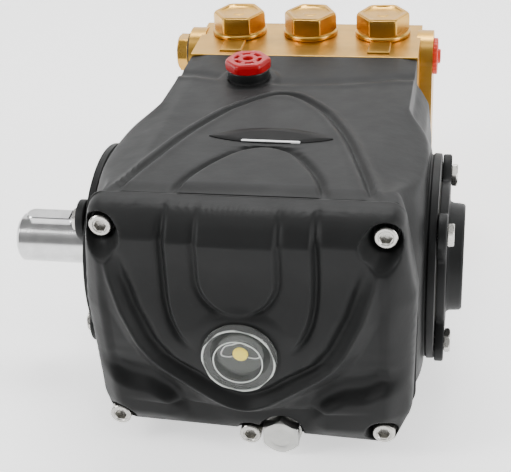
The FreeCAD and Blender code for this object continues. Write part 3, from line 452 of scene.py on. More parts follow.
def paint(name, what, default):
    return FloatVectorProperty(name=name, description="Colour of the " + what, subtype="COLOR", size=3,
                               default=default, min=0.0, max=1.0)


class PumpSizes(bpy.types.PropertyGroup):
    arch_rise: height("Arch rise", "Height of the raised arches on the casting", 1.3, 0.0, 3.0)
    groove_depth: height("Groove depth", "Depth of the groove along each arch", 2.1, 0.0, 3.0)
    shield_rise: height("Shield rise", "How far the shield stands out of the cover", 8.4, 2.0, 9.0)
    crest_rise: height("Crest rise", "Height of the crest round the shield", 1.6, 0.0, 4.0)
    lobe_rise: height("Corner lobe rise", "Height of the two lower corner lobes", 4.2, 0.0, 6.0)


class PumpColours(bpy.types.PropertyGroup):
    casting: paint("Casting paint", "painted castings", (0.0100, 0.0104, 0.0104))
    brass: paint("Brass", "brass manifold and caps", (0.58, 0.325, 0.06))
    filler_cap: paint("Oil cap", "oil cap", (0.42, 0.002, 0.006))
    transit_plug: paint("Transit plug", "transit plug", (0.62, 0.03, 0.006))
    float_dot: paint("Level dot", "oil level dot", (0.95, 0.74, 0.015))


MADE = {}


def finishes():
    """All finishes by the name of the material slot they stand for, made once."""
    if MADE:
        return MADE
    colours = bpy.context.scene.pump_colours
    casting = tuple(colours.casting)
    brass = tuple(colours.brass)
    MADE.update({
        "crankcase_paint": painted_casting("crankcase_paint", casting),
        "cover_paint": painted_casting("cover_paint", shade(casting, 0.97)[:3]),
        "brass": cast_brass("manifold_brass", brass),
        "cap_brass": cast_brass("cap_brass", shade(brass, 1.06)[:3], 1600.0, 0.20),
        "bright_fasteners": bright_metal("plated_screws", (0.50, 0.49, 0.46), 0.20),
        "ground_steel": bright_metal("ground_steel", (0.56, 0.56, 0.56), 0.12, (1.0, 0.04, 0.04), 2200.0),
        "drain_steel": bright_metal("nickel_plating", (0.50, 0.50, 0.48), 0.32),
        "bronze_ring": bright_metal("bronze", (0.60, 0.38, 0.16), 0.32),
        "valve_steel": bright_metal("stainless_steel", (0.62, 0.62, 0.61), 0.26),
        "cast_aluminium": bright_metal("bare_aluminium", (0.66, 0.66, 0.67), 0.40),
        "oiled_shim": bright_metal("oiled_shim", (0.055, 0.055, 0.05), 0.45),
        "valve_plastic": moulded_plastic("natural_acetal", (0.80, 0.77, 0.70), 0.4),
        "white_ceramic": fired_ceramic("white_ceramic", (0.86, 0.85, 0.80)),
        "black_rubber": nitrile("nitrile_rubber", (0.012, 0.012, 0.012)),
        "clear_glass": clear_moulding("clear_window", (0.30, 0.32, 0.30)),
        "reflector_grey": moulded_plastic("reflector_grey", (0.012, 0.013, 0.012), 0.3),
        "yellow_plastic": glowing_fleck_plastic("level_dot_yellow", tuple(colours.float_dot)),
        "red_plastic": moulded_plastic("oil_cap_red", tuple(colours.filler_cap), 0.26),
        "black_plastic": moulded_plastic("oil_cap_black", (0.010, 0.011, 0.011), 0.34),
        "orange_plastic": moulded_plastic("transit_plug_orange", tuple(colours.transit_plug), 0.30),
        "badge_black": moulded_plastic("badge_black", (0.0006, 0.0006, 0.0006), 0.30, 0.05),
        "badge_white": moulded_plastic("badge_white", (0.86, 0.86, 0.86), 0.35),
        # near-black rubber finish used as painted shade in the base holes
        "painted_hole_shade": nitrile("painted_hole_shade", (0.006, 0.006, 0.006)),
        # painted highlight: light-grey finish for the beads that stand for light on the window's edges
        "window_highlight_rim": moulded_plastic("window_highlight_rim", (0.55, 0.58, 0.55), 0.10),
        "white_print": moulded_plastic("window_line", (0.80, 0.80, 0.80), 0.4),
    })
    return MADE


# ---------------------------------------------------------------- shared places, mm from the crank axis
REAR_Y = -57.0
FRONT_Y = 117.0
FLOOR_Z = -62.0
GASKET = 0.6
COVER_BACK_Y = REAR_Y - GASKET
COVER_DEPTH = 17.8
GLASS_Z = -1.7
GLASS_BOSS = 8.9
COVER_SCREWS = [(-60.2, 49.6, 5.6), (60.2, 49.6, 5.6), (-60.2, -46.9, 12.3), (60.2, -46.9, 12.3),
                (0.0, -53.0, 12.3)]
DRAIN = (14.2, -52.0, 12.3)
PLUNGERS_X = (-41.0, 0.0, 41.0)
CRANK_THROW = 5.0
VALVE_Y = 151.8
TOP_Z = 51.5
LOW_Z = -45.5
PORT_X = 69.5
OUTLET_Z = 38.5
INLET_Z = -32.5


# ---------------------------------------------------------------- crankcase
COVER_OUTLINE = [(67.0, 60.0, 7.0), (73.5, 22.0, 20.0), (72.0, -38.0, 12.0), (64.0, -55.5, 5.0),
                 (-64.5, -51.5, 5.0), (-68.6, -38.0, 12.0), (-70.6, 14.0, 20.0), (-66.5, 60.0, 7.0)]
SECTION = [(62.3, 60.0, 4.5), (62.3, 37.0, 8.0), (70.0, 25.0, 8.0), (72.0, 4.0, 14.0), (72.0, -32.0, 20.0),
           (64.0, -62.0, 4.0)]
OUTER_ARCH = soft_table([-80, -56, -37, -13, 0, 13, 24, 37, 49, 56, 60.5, 63.5, 64.5],
                        [56, 54.8, 50.3, 43.6, 39.8, 35.2, 30.6, 24.5, 16.2, 10.6, 6.0, 0.0, -4.0], 3.0)
INNER_ARCH = soft_table([-80, -57.7, -45, -38, -31, -24, -19, -15, -11.5, -9.0, -8.2],
                        [30.4, 29.2, 26.3, 23.8, 20.6, 16.8, 13.6, 10.4, 5.6, 0.0, -4.0], 2.0)
COVER_HALF = soft_table([-62, -57, -50, -38, 0, 22, 45, 56, 60],
                        [64, 65.5, 70, 72.6, 72.9, 72.6, 69.4, 67, 64.5], 2.0)
HOUSING = soft_table([0, 52, 56, 60, 63, 66, 69, 74, 140],
                     [74.5, 74.5, 73.6, 72.0, 70.2, 67.6, 65.0, 62.3, 62.3], 2.5)


def top_relief(x, y, sizes):
    """Height of the top face over the crank axis: inside each arch the face is raised, a groove runs along
    the inner side of its edge, the step near the manifold is a soft slope on a curved line, and the filler
    seat is a low flat disc."""
    outer = inside_of(OUTER_ARCH, np.sqrt((x + 1.0) ** 2 + 49.0) - 3.5, y)
    inner = inside_of(INNER_ARCH, np.sqrt((x - 1.5) ** 2 + 16.0) - 2.0, y)
    rise = sizes.arch_rise * ease(outer, -3.0, 0.5) - sizes.groove_depth * hump(outer - 3.0, 1.9)
    rise = rise + 0.45 * hump(outer - 6.6, 2.2)
    rise = rise + sizes.arch_rise * 0.8 * ease(inner, -1.0, 1.5)
    rise = rise - sizes.groove_depth * 0.9 * hump(inner + 1.8, 1.7)
    rise = rise * (0.25 + 0.75 * ease(y, -57.0, -49.0)) - 0.25
    step = 71.0 + 12.0 * (x / 60.0) ** 2
    slope = 60.0 - 0.0478 * (y + 57.0)
    front = 51.6 + 0.024 * (FRONT_Y - y)
    fall = ease(y, step, step + 7.0)
    level = slope + (front - slope) * fall - 0.8 * hump(y - step - 8.5, 4.0) + 0.5 * hump(y - step, 3.0)
    far = np.hypot(x - (FILLER[0] - CRANK[0]) / MM, y - (FILLER[1] - CRANK[1]) / MM)
    boss = ease(-far, -18.0, -13.2)
    flat = level + rise
    flat = flat + (53.2 - flat) * boss
    return flat + (52.4 - flat) * ease(-far, -11.3, -10.9)


def crankcase_shell(sizes):
    """Rings round the section, one for each station along Y. The section is a rounded outline. Its sides are
    pushed out to the bearing housing, whose half width is a table of the distance from the crank axis, and
    at the rear to the cover's outline. Its top follows the relief, and its floor lifts under the neck."""
    dense = rounded_outline(mirrored(SECTION), 4000)
    dense = np.roll(dense, -int(np.argmin(np.abs(dense[:, 0]) + (dense[:, 1] < 0) * 1000.0)), axis=0)
    spacing = np.where(dense[:, 1] > 55.0, 0.76, np.where(dense[:, 1] > -56.0, 1.5, 4.0))
    step = np.linalg.norm(np.roll(dense, -1, axis=0) - dense, axis=1)
    weight = np.concatenate([[0.0], np.cumsum(step / spacing)])
    count = int(weight[-1])
    at = np.interp(np.linspace(0.0, weight[-1], count, endpoint=False), weight, np.arange(len(weight)))
    closed = np.concatenate([dense, dense[:1]])
    lane = np.stack([np.interp(at, np.arange(len(closed)), closed[:, k]) for k in (0, 1)], axis=1)
    stations = np.arange(REAR_Y + 1.2, FRONT_Y - 0.5, 0.78)
    stations = np.concatenate([[REAR_Y + 0.25, REAR_Y + 0.6], stations, [FRONT_Y - 0.4]])
    y = stations[:, None] + np.zeros(count)[None, :]
    x = lane[None, :, 0] + np.zeros_like(y)
    z = lane[None, :, 1] + np.zeros_like(y)
    sign = np.sign(x)
    reach = np.abs(x)
    upper = ease(z, 30.0, 59.9)
    from_axis = np.hypot(y, z - 3.0 * upper)
    house = HOUSING(from_axis)
    flank = ease(reach, 52.0, 62.0)
    left = x < 0.0
    inset = 2.6
    trim = np.where(left, 5.0, 1.0) * ease(y, 58.0, 82.0)
    trim = trim + np.where(left, inset, 0.0) * (1.0 - ease(y, REAR_Y, -20.0))
    reach = reach - trim * ease(reach, 62.4, 71.0)
    push = np.maximum(house - reach, 0.0) * flank
    rear = np.maximum(COVER_HALF(z) - inset * left - reach, 0.0)
    rear = rear * flank * (1.0 - ease(y, REAR_Y, REAR_Y + 26.0))
    push = np.maximum(push, rear)
    z = z - 0.42 * np.maximum(push - rear, 0.0) * upper
    x = sign * (reach + push)
    relief = top_relief(x, y, sizes) - 60.0
    z = z + relief * upper
    lift = 20.0 * ease(y, 84.0, 97.0)
    z = z + lift * ease(-z, 26.0, 62.0)
    rows = np.stack([x, y, z], axis=-1)
    rear_face = rows[0] * (0.985, 1.0, 0.985)
    rear_face[:, 1] = REAR_Y
    front_face = rows[-1] * (0.993, 1.0, 0.993)
    front_face[:, 1] = FRONT_Y
    rear_middle = rear_face * (0.0, 1.0, 0.0)
    front_middle = front_face * (0.0, 1.0, 0.0)
    return stitched(np.concatenate([[rear_middle, rear_face], rows, [front_face, front_middle]]))


def flange_profile(sign):
    """Side flange: a drum with a step line round it, from inside the casting out to its machined face."""
    rows = [(58.0, 0.0), (58.0, 44.0), (72.0, 48.9), (74.6, 48.9), (74.9, 47.6), (75.9, 47.6), (76.2, 48.4),
            (79.6, 48.2), (79.6, 0.0)]
    return [(sign * along, radius) for along, radius in rows]


class PUMP_OT_crankcase(bpy.types.Operator):
    """Crankcase casting with its arches, bearing housings and side flanges"""

    bl_idname = "pump.crankcase"
    bl_label = "Crankcase"

    def execute(self, context):
        casting = crankcase_shell(context.scene.pump_sizes)
        piece("crankcase_casting", [casting], "crankcase_paint", ("crankcase",))
        drums = [turned(flange_profile(side), (0, 0, 0), X_AXIS, 0.5, 180) for side in (-1, 1)]
        piece("side_flanges", drums, "crankcase_paint")
        # Four thin near-black discs flush with the floor at the base's threaded holes: painted shade standing
        # for the shadow inside the holes.
        rim = [(0.6, 0.0), (0.6, 4.6), (-0.05, 4.6), (-0.05, 3.4), (0.3, 3.3), (0.3, 0.0)]
        rims = [turned(rim, (x, y, FLOOR_Z), Z_AXIS, 0.0, 40) for x in (-52.0, 52.0) for y in (-40.0, 40.0)]
        piece("base_hole_shade_discs", rims, "crankcase_paint", finish="painted_hole_shade")
        return {"FINISHED"}


# ---------------------------------------------------------------- rear cover
SHIELD = soft_table([-36, -33.5, -32, -29, -22, -13, -8, 0, 15, 30, 45, 75],
                    [-5.0, 0.0, 4.0, 9.5, 19.0, 31.5, 37.0, 42.5, 49.5, 54.0, 56.6, 58.0], 3.0)
BAND = soft_table([-14, -10, -4, 2, 7, 14, 22, 34, 46, 75],
                  [0, 10, 18.5, 23.0, 26.4, 29.2, 30.6, 31.0, 30.9, 30.2], 4.0)
CREASE = soft_table([0, 24, 30, 36, 43, 53, 60, 75],
                    [-60, -42, -34, -28.0, -23.5, -22.8, -18.0, -17.0], 5.0)


def cover_relief(x, z, sizes):
    """Height over the cover's flat back in layers: the shield rises towards its lower point and carries a
    crest with a hollow inside it, the band and the tongue are two lower steps with a groove along each edge,
    the two lower corners have lobes over the screws, a rim runs up each side, and all of it turns into the
    flat boss round the sight glass."""
    shield = inside_of(SHIELD, np.sqrt(x ** 2 + 49.0) - 3.0, z)
    level = sizes.shield_rise - (sizes.shield_rise - 2.2) * ease(z, -6.0, 40.0)
    low = 1.0 - ease(z, 22.0, 46.0)
    height = level * (0.45 * ease(shield, -22.0, 0.0) + 0.55 * ease(shield, -7.0, 0.6))
    height = height + sizes.crest_rise * hump(shield - 0.6, 1.7) * (0.3 + 0.7 * low)
    height = height - 3.4 * hump(shield - 5.6, 3.0) * low - 0.5 * hump(shield - 5.0, 2.2) * (1.0 - low)
    band = inside_of(BAND, x, z)
    shown = ease(z, -2.0, 9.0)
    height = height + (1.5 * ease(band, -1.2, 1.2) - 1.9 * hump(band + 1.6, 1.6)) * shown
    tongue = 16.3 - np.hypot(x + 0.6, np.minimum(z - 33.6, 0.0))
    height = height + 1.4 * ease(tongue, -1.4, 1.2) - 1.0 * hump(tongue + 1.6, 1.4)
    below = (CREASE(np.abs(x)) - z) * 0.9
    side = ease(np.abs(x), 25.0, 36.0) * (1.0 - 0.35 * ease(np.abs(x), 60.0, 70.0))
    height = height + sizes.lobe_rise * ease(below, -1.0, 6.0) * side * (1.0 - 0.75 * ease(below, 12.0, 36.0))
    height = height - 1.5 * hump(below + 3.0, 4.5) * ease(np.abs(x), 25.0, 34.0)
    rim = ease(np.abs(x), 57.5, 63.0) * ease(z, -24.0, -10.0) * (1.0 - ease(z, 32.0, 42.0))
    height = height + 2.0 * rim
    far = np.hypot(x, z - GLASS_Z)
    near = ease(-far, -23.5, -17.2) * (1.0 - 0.4 * ease(z, 14.0, 20.0))
    return height * (1.0 - near) + GLASS_BOSS * near


def cover_shell(sizes):
    """Rings about the sight glass axis that grow from its boss to the cover's outline. The depth is the flat
    back plus the relief, rounded off by a quarter circle towards the outline and hollowed at each screw. A
    skirt, the flat joint face and the glass bore close the ring."""
    boss_radius = 17.4
    bore_radius = 13.0
    outline = rounded_outline(COVER_OUTLINE, 3600)
    angle = np.arctan2(outline[:, 1] - GLASS_Z, outline[:, 0])
    radius = np.hypot(outline[:, 0], outline[:, 1] - GLASS_Z)
    order = np.argsort(angle)
    turn = np.linspace(-math.pi, math.pi, 660, endpoint=False)
    rim = np.interp(turn, angle[order], radius[order], period=2.0 * math.pi)
    t = np.linspace(0.0, 1.0, 138) ** 0.92
    spread = boss_radius + (rim[None, :] - boss_radius) * t[:, None]
    x = spread * np.cos(turn)[None, :]
    z = GLASS_Z + spread * np.sin(turn)[None, :]
    edge = outline[::6]
    gap = np.full(x.shape, 1e9)
    for k in range(0, len(edge), 40):
        some = edge[k:k + 40]
        gap = np.minimum(gap, np.hypot(x[..., None] - some[:, 0], z[..., None] - some[:, 1]).min(axis=-1))
    gap[-1] = 0.0
    round_off = 9.5 + 5.5 * ease(z, 40.0, 56.0) - 2.0 * ease(-z, 40.0, 54.0)
    inner = np.clip(round_off - gap, 0.0, round_off)
    drop = round_off - np.sqrt(np.maximum(round_off ** 2 - inner ** 2, 0.0))
    full = 1.0 - ease(-gap, -12.0, -2.0) * (1.0 - 0.75 * ease(z, 46.0, 56.0))
    depth = COVER_DEPTH - drop + cover_relief(x, z, sizes) * full
    for sx, sz, seat in COVER_SCREWS + [DRAIN]:
        hole = 9.3 if (sx, sz, seat) == DRAIN else 5.7
        far = np.hypot(x - sx, z - sz)
        if sz > 0.0:
            open_side = np.hypot((x - sx) * 1.1, z - (sz - 3.4))
            scoop = seat + 5.6 + np.maximum(open_side - 4.6, 0.0) * 1.9
            depth = blunt_least(depth, scoop, 0.7)
        wall = seat + np.maximum(far - hole, 0.0) * 2.6 + 1.5 * ease(far, hole, hole + 1.2)
        depth = blunt_least(depth, wall, 0.35)
    depth = np.maximum(depth, 0.0)
    face = np.stack([x, COVER_BACK_Y - depth, z], axis=-1)
    skirt = np.repeat(face[-1:], 5, axis=0)
    share = np.array([0.75, 0.5, 0.25, 0.04, 0.0])[:, None]
    skirt[..., 1] = COVER_BACK_Y + (face[-1, :, 1] - COVER_BACK_Y) * share
    skirt[-1, :, [0, 2]] *= 0.994
    boss_y = COVER_BACK_Y - COVER_DEPTH - GLASS_BOSS

    def ring(radius, level):
        z = GLASS_Z + radius * np.sin(turn)
        return np.stack([radius * np.cos(turn), np.full_like(turn, level), z], axis=-1)

    bore = [ring(bore_radius, COVER_BACK_Y), ring(bore_radius, boss_y + 0.4),
            ring(bore_radius, boss_y) * (1.02, 1.0, 1.0), ring(boss_radius * 0.985, boss_y)]
    return stitched(np.concatenate([bore, face, skirt]), looped=True)


class PUMP_OT_rear_cover(bpy.types.Operator):
    """Rear cover with its shield, bands, corner lobes and screw pockets"""

    bl_idname = "pump.rear_cover"
    bl_label = "Rear cover"

    def execute(self, context):
        casting = cover_shell(context.scene.pump_sizes)
        piece("rear_cover_casting", [casting], "cover_paint", ("rear_cover",))
        return {"FINISHED"}


# ---------------------------------------------------------------- side covers
EAR_CIRCLE = 40.0


def lobed_plate(rows, side):
    """A plate whose outline is a disc of radius 35 joined to four ears of radius 10 on a 40 circle, by the
    14th root of the sum of their 14th powers. Rows are (inset, x): the outline is shrunk by the inset, a
    negative inset gives a plain circle of that radius, and None gives the middle point."""
    disc = 35.0
    ear_radius = 10.0
    blend = 14
    angle = np.linspace(0.0, 2.0 * math.pi, 240, endpoint=False)
    off = (angle % (math.pi / 2.0)) - math.pi / 4.0
    across = EAR_CIRCLE * np.sin(off)
    bulge = np.sqrt(np.maximum(ear_radius ** 2 - across ** 2, 0.0))
    ear = np.where(np.abs(across) < ear_radius, EAR_CIRCLE * np.cos(off) + bulge, 0.0)
    shape = (disc ** blend + ear ** blend) ** (1.0 / blend)
    kernel = np.hanning(9)
    shape = np.convolve(np.concatenate([shape[-4:], shape, shape[:4]]), kernel / kernel.sum(), mode="valid")
    stack = []
    for inset, x in rows:
        if inset is None:
            radius = np.zeros_like(shape)
        else:
            radius = shape - inset if inset >= 0.0 else np.full_like(shape, -inset)
        row = [np.full_like(radius, side * x), radius * np.cos(angle), radius * np.sin(angle)]
        stack.append(np.stack(row, axis=-1))
    return np.array(stack)


class PUMP_OT_side_covers(bpy.types.Operator):
    """Closed and shaft-side bearing covers"""

    bl_idname = "pump.side_covers"
    bl_label = "Side covers"

    def execute(self, context):
        edge = [(0.5, 79.9), (0.0, 80.3), (0.0, 83.2), (0.25, 83.7), (0.8, 84.0)]
        boss = [(-27.2, 84.05), (-26.0, 84.5), (-25.4, 85.6), (-25.0, 90.2), (-24.6, 91.0), (-23.8, 91.4),
                (-18.0, 91.4), (-17.4, 91.1), (-16.8, 90.3), (-9.0, 90.2)]
        closed = [(None, 79.9)] + edge + boss + [(None, 90.2)]
        piece("closed_cover_casting", [stitched(lobed_plate(closed, 1.0))], "cover_paint",
              ("closed_side_cover",))
        seal_lip = [(-26.8, 84.05), (-26.0, 84.3), (-22.4, 84.35), (-21.6, 84.2), (-21.2, 83.6)]
        ring = [(-21.2, 79.9)] + edge + seal_lip
        piece("shaft_cover_casting", [stitched(lobed_plate(ring, -1.0), looped=True)], "cover_paint",
              ("shaft_side_cover",))
        return {"FINISHED"}


# ---------------------------------------------------------------- screws
def socket_head(seat, out, shank, length, key):
    """A socket-head screw: head, chamfer, hexagon socket, plain shank with a pointed end. The knurl is a
    cosine of 32 turns round the head, added to its radius."""
    head = shank * 1.65
    high = shank * 2.0
    body = [(-length, 0.0), (-length, shank * 0.8), (-length + 0.8, shank), (-0.2, shank),
            (0.0, head * 0.96), (0.35, head), (high - 0.5, head), (high, head * 0.90), (high, key * 0.66),
            (high - 0.35, key * 0.62), (high - 0.4, key * 0.6, key), (high * 0.45, key * 0.6, key),
            (high * 0.38, 0.0)]
    points, quads, tris = turned(body, (0, 0, 0), out, 0.12, 96)
    out = np.array(out)
    away = points @ out
    flat = points - away[:, None] * out
    far = np.linalg.norm(flat, axis=1)
    side = np.array(Y_AXIS if abs(out[0]) > 0.5 else X_AXIS)
    angle = np.arctan2(flat @ np.cross(out, side), flat @ side)
    knurled = (away > 0.5) & (away < high - 0.7) & (far > head * 0.97)
    grip = knurled * 0.018 * np.cos(32.0 * angle)
    return points + flat * grip[:, None] + np.array(seat), quads, tris


def hexagon_head(seat, out, shank, length, flats, high, start_deg):
    """A hexagon-head screw with a domed, chamfered top and a washer face under the head."""
    body = [(-length, 0.0), (-length, shank * 0.8), (-length + 0.8, shank), (-0.1, shank),
            (0.0, flats * 0.47), (0.35, flats * 0.47), (0.4, flats * 0.58, flats),
            (high * 0.72, flats * 0.58, flats), (high * 0.96, flats * 0.50, flats), (high, flats * 0.44),
            (high, 0.0)]
    return turned(body, seat, out, 0.12, 96, start_deg)


class PUMP_OT_screws(bpy.types.Operator):
    """Cover, side cover and manifold screws"""

    bl_idname = "pump.screws"
    bl_label = "Screws"

    def execute(self, context):
        heads = [socket_head((x, COVER_BACK_Y - seat, z), (0.0, -1.0, 0.0), 3.0, 22.0, 5.0)
                 for x, z, seat in COVER_SCREWS]
        piece("rear_cover_cap_screws", heads, "bright_fasteners", ("rear_cover_screws",))
        reach = EAR_CIRCLE * math.sqrt(0.5)
        corners = ((-reach, -reach), (reach, -reach), (-reach, reach), (reach, reach))
        heads = [hexagon_head((side * 84.0, y, z), (side, 0.0, 0.0), 3.0, 14.0, 10.0, 3.0, 11.0 * k + 7.0)
                 for side in (-1.0, 1.0) for k, (y, z) in enumerate(corners)]
        piece("side_cover_hex_screws", heads, "bright_fasteners", ("side_cover_screws",))
        recess = 8.0
        face = (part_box("manifold")[1][1] - CRANK[1]) / MM - recess
        heads = [socket_head((x, face, z), Y_AXIS, 4.0, 58.0, 6.0)
                 for x in (-57.0, -20.5, 20.5, 57.0) for z in (25.0, -19.0)]
        piece("manifold_cap_screws", heads, "bright_fasteners", ("manifold_screws",))
        return {"FINISHED"}


# ---------------------------------------------------------------- crankshaft
class PUMP_OT_crankshaft(bpy.types.Operator):
    """Crankshaft: ground shaft end, seats, webs and three crankpins"""

    bl_idname = "pump.crankshaft"
    bl_label = "Crankshaft"

    def execute(self, context):
        shaft_end = [(-126.2, 0.0), (-126.2, 10.6), (-124.7, 12.0), (-84.6, 12.0), (-84.5, 13.6),
                     (-84.0, 14.0), (-74.0, 14.0), (-73.9, 15.0), (-57.2, 15.0), (-57.2, 0.0)]
        shells = [turned(shaft_end, (0, 0, 0), X_AXIS, 0.15, 128)]
        for start, end in ((-57.3, -51.25), (-30.75, -10.25), (10.25, 30.75), (51.25, 57.3)):
            web = [(start, 0.0), (start, 20.0), (end, 20.0), (end, 0.0)]
            shells.append(turned(web, (0, 0, 0), X_AXIS, 0.4, 96))
        for k, x in enumerate(PLUNGERS_X):
            phase = math.radians(120.0 * k)
            middle = (0.0, CRANK_THROW * math.cos(phase), CRANK_THROW * math.sin(phase))
            pin = [(x - 10.4, 0.0), (x - 10.4, 14.0), (x + 10.4, 14.0), (x + 10.4, 0.0)]
            shells.append(turned(pin, middle, X_AXIS, 0.1, 96))
        blind_end = [(57.2, 0.0), (57.2, 15.0), (73.0, 15.0), (73.4, 14.0), (73.4, 0.0)]
        shells.append(turned(blind_end, (0, 0, 0), X_AXIS, 0.3, 96))
        piece("crankshaft_forging", shells, "ground_steel", ("crankshaft",), "crank")
        return {"FINISHED"}


# ---------------------------------------------------------------- valve caps and port fittings
class PUMP_OT_valve_caps(bpy.types.Operator):
    """Six hexagon valve caps, three on top and three underneath"""

    bl_idname = "pump.valve_caps"
    bl_label = "Valve caps"

    def execute(self, context):
        af = 26.1
        profile = [(-22.0, 0.0), (-22.0, 10.3), (-6.8, 10.3), (-6.5, 12.0), (0.0, 12.0), (0.05, 15.2),
                   (0.8, 15.5), (2.1, 15.5), (2.8, 14.9), (3.2, 14.2), (3.35, 15.3, af), (10.0, 15.3, af),
                   (11.6, 14.6, af - 0.4), (12.5, 13.9, af - 1.6), (12.7, 12.9, af - 3.2),
                   (12.4, 11.2, af - 5.4), (11.7, 9.9), (11.2, 8.4), (11.1, 3.6), (11.45, 2.6), (11.45, 0.0)]
        shells = []
        for x, turn_deg in zip(PLUNGERS_X, (2.0, -3.0, 4.0)):
            for face, up in ((TOP_Z, 1.0), (LOW_Z, -1.0)):
                rows = [(along * up, *rest) for along, *rest in profile]
                shells.append(turned(rows, (x, VALVE_Y, face), Z_AXIS, 0.35, 144, turn_deg))
        piece("hexagon_valve_caps", shells, "brass", ("valve_caps",), finish="cap_brass")
        return {"FINISHED"}


class PUMP_OT_port_fittings(bpy.types.Operator):
    """Blanking plugs on the shaft side, their washers and the transit plug"""

    bl_idname = "pump.port_fittings"
    bl_label = "Port fittings"

    def execute(self, context):
        washer = 1.5
        plugs = []
        for z, hole, af in ((OUTLET_Z, 7.6, 19.0), (INLET_Z, 9.5, 22.8)):
            outer = hole + 3.4
            profile = [(13.5, 0.0), (13.5, hole - 0.6), (12.8, hole - 0.1), (1.6, hole - 0.1),
                       (washer, outer), (0.2, outer), (-0.4, outer - 0.4), (-0.7, af * 0.56, af),
                       (-5.6, af * 0.575, af), (-6.5, af * 0.50, af), (-6.5, af * 0.34), (-5.9, af * 0.28),
                       (-5.9, 0.0)]
            plugs.append(turned(profile, (-PORT_X - washer, VALVE_Y, z), X_AXIS, 0.3, 120))
        piece("blanking_plugs", plugs, "brass", ("port_plugs",), finish="cap_brass")
        profile = [(-11.0, 6.0), (-11.0, 7.2), (-0.4, 7.3), (0.0, 9.9), (0.5, 10.0), (2.2, 10.0), (2.6, 9.4),
                   (2.6, 7.0), (2.1, 6.6), (2.1, 4.6), (2.6, 4.2), (4.0, 3.9), (4.2, 3.3), (4.2, 1.4),
                   (1.4, 1.3), (1.4, 6.0)]
        points, quads, tris = turned(profile, (0, 0, 0), X_AXIS, 0.25, 96, looped=True)
        angle = np.arctan2(points[:, 2], points[:, 1])
        grip = (np.hypot(points[:, 2], points[:, 1]) > 9.3) * 0.02 * np.cos(24.0 * angle)
        points[:, 1:] *= 1.0 + grip[:, None]
        stopper = (points + (PORT_X, VALVE_Y, OUTLET_Z), quads, tris)
        piece("transit_stopper", [stopper], "orange_plastic", ("transit_plug",), "transit_stopper")
        return {"FINISHED"}


# ---------------------------------------------------------------- oil filler cap
class PUMP_OT_filler_cap(bpy.types.Operator):
    """Red hexagon oil cap over its black collar"""

    bl_idname = "pump.filler_cap"
    bl_label = "Oil filler cap"

    def execute(self, context):
        spot = ((FILLER[0] - CRANK[0]) / MM, (FILLER[1] - CRANK[1]) / MM, 52.6)
        collar = [(-9.0, 0.0), (-9.0, 7.6), (-8.4, 8.0), (0.6, 8.0), (1.2, 10.3), (1.4, 10.9), (5.6, 10.9),
                  (6.1, 10.5), (6.1, 0.0)]
        piece("oil_cap_collar", [turned(collar, spot, Z_AXIS, 0.3, 128)], "black_plastic", ("filler_collar",),
              "filler")
        af = 20.6
        cap = [(6.0, 0.0), (6.0, 10.7), (6.4, 11.7, af + 1.1), (9.4, 11.9, af + 0.8), (10.6, 11.5, af),
               (11.4, 10.6, af - 1.0), (11.4, 7.7), (10.9, 7.2), (9.7, 7.0), (9.7, 5.6), (10.9, 5.5),
               (11.4, 5.0), (11.4, 3.1), (11.0, 2.6), (8.4, 2.3), (8.4, 0.0)]
        points, quads, tris = turned(cap, (0, 0, 0), Z_AXIS, 0.22, 144, 10.0)
        angle = np.arctan2(points[:, 1], points[:, 0])
        far = np.hypot(points[:, 0], points[:, 1])
        spoke = np.abs(((angle - 0.3) % (math.pi / 3.0)) - math.pi / 6.0) > 0.33
        spoke = spoke & (far > 5.3) & (far < 7.3) & (points[:, 2] > 9.6)
        points[:, 2] = np.where(spoke, 11.3, points[:, 2])
        piece("oil_cap_head", [(points + spot, quads, tris)], "red_plastic", ("filler_cap",), "filler")
        return {"FINISHED"}


# ---------------------------------------------------------------- sight glass and drain plug
def window_line(level):
    """The line round the float: a thin tube along a smoothed outline, its rings square to the way it runs."""
    count = 160
    radius = 0.27
    line = np.array([(-3.0, -1.4), (-5.4, -2.0), (-7.6, -1.8), (-8.6, -0.8), (-8.0, 1.0), (-7.0, 3.0),
                     (-5.4, 4.1), (-3.4, 4.4), (-1.6, 5.4), (0.0, 5.8), (1.8, 5.4), (3.6, 4.3), (5.6, 3.6),
                     (7.2, 2.0), (8.2, 0.2), (8.2, -1.4), (6.6, -2.0), (4.6, -1.9), (3.0, -1.4)])
    at = np.linspace(0.0, len(line) - 1.0, count)
    path = [np.interp(at, np.arange(len(line)), line[:, k]) for k in (0, 1)]
    path = [np.convolve(np.pad(lane, 4, mode="edge"), np.ones(9) / 9.0, mode="valid") for lane in path]
    path = np.stack(path, axis=1)
    along = np.gradient(path, axis=0)
    along /= np.linalg.norm(along, axis=1)[:, None]
    turn = np.linspace(0.0, 2.0 * math.pi, 10, endpoint=False)
    middle = np.stack([path[:, 0], np.full(count, level), GLASS_Z + path[:, 1]], axis=1)
    side = np.stack([-along[:, 1], np.zeros(count), along[:, 0]], axis=1)
    ring = np.cos(turn)[None, :, None] * side[:, None, :] + np.sin(turn)[None, :, None] * np.array(Y_AXIS)
    tube = middle[:, None, :] + radius * ring
    tube[0] = middle[0]
    tube[-1] = middle[-1]
    return stitched(tube)


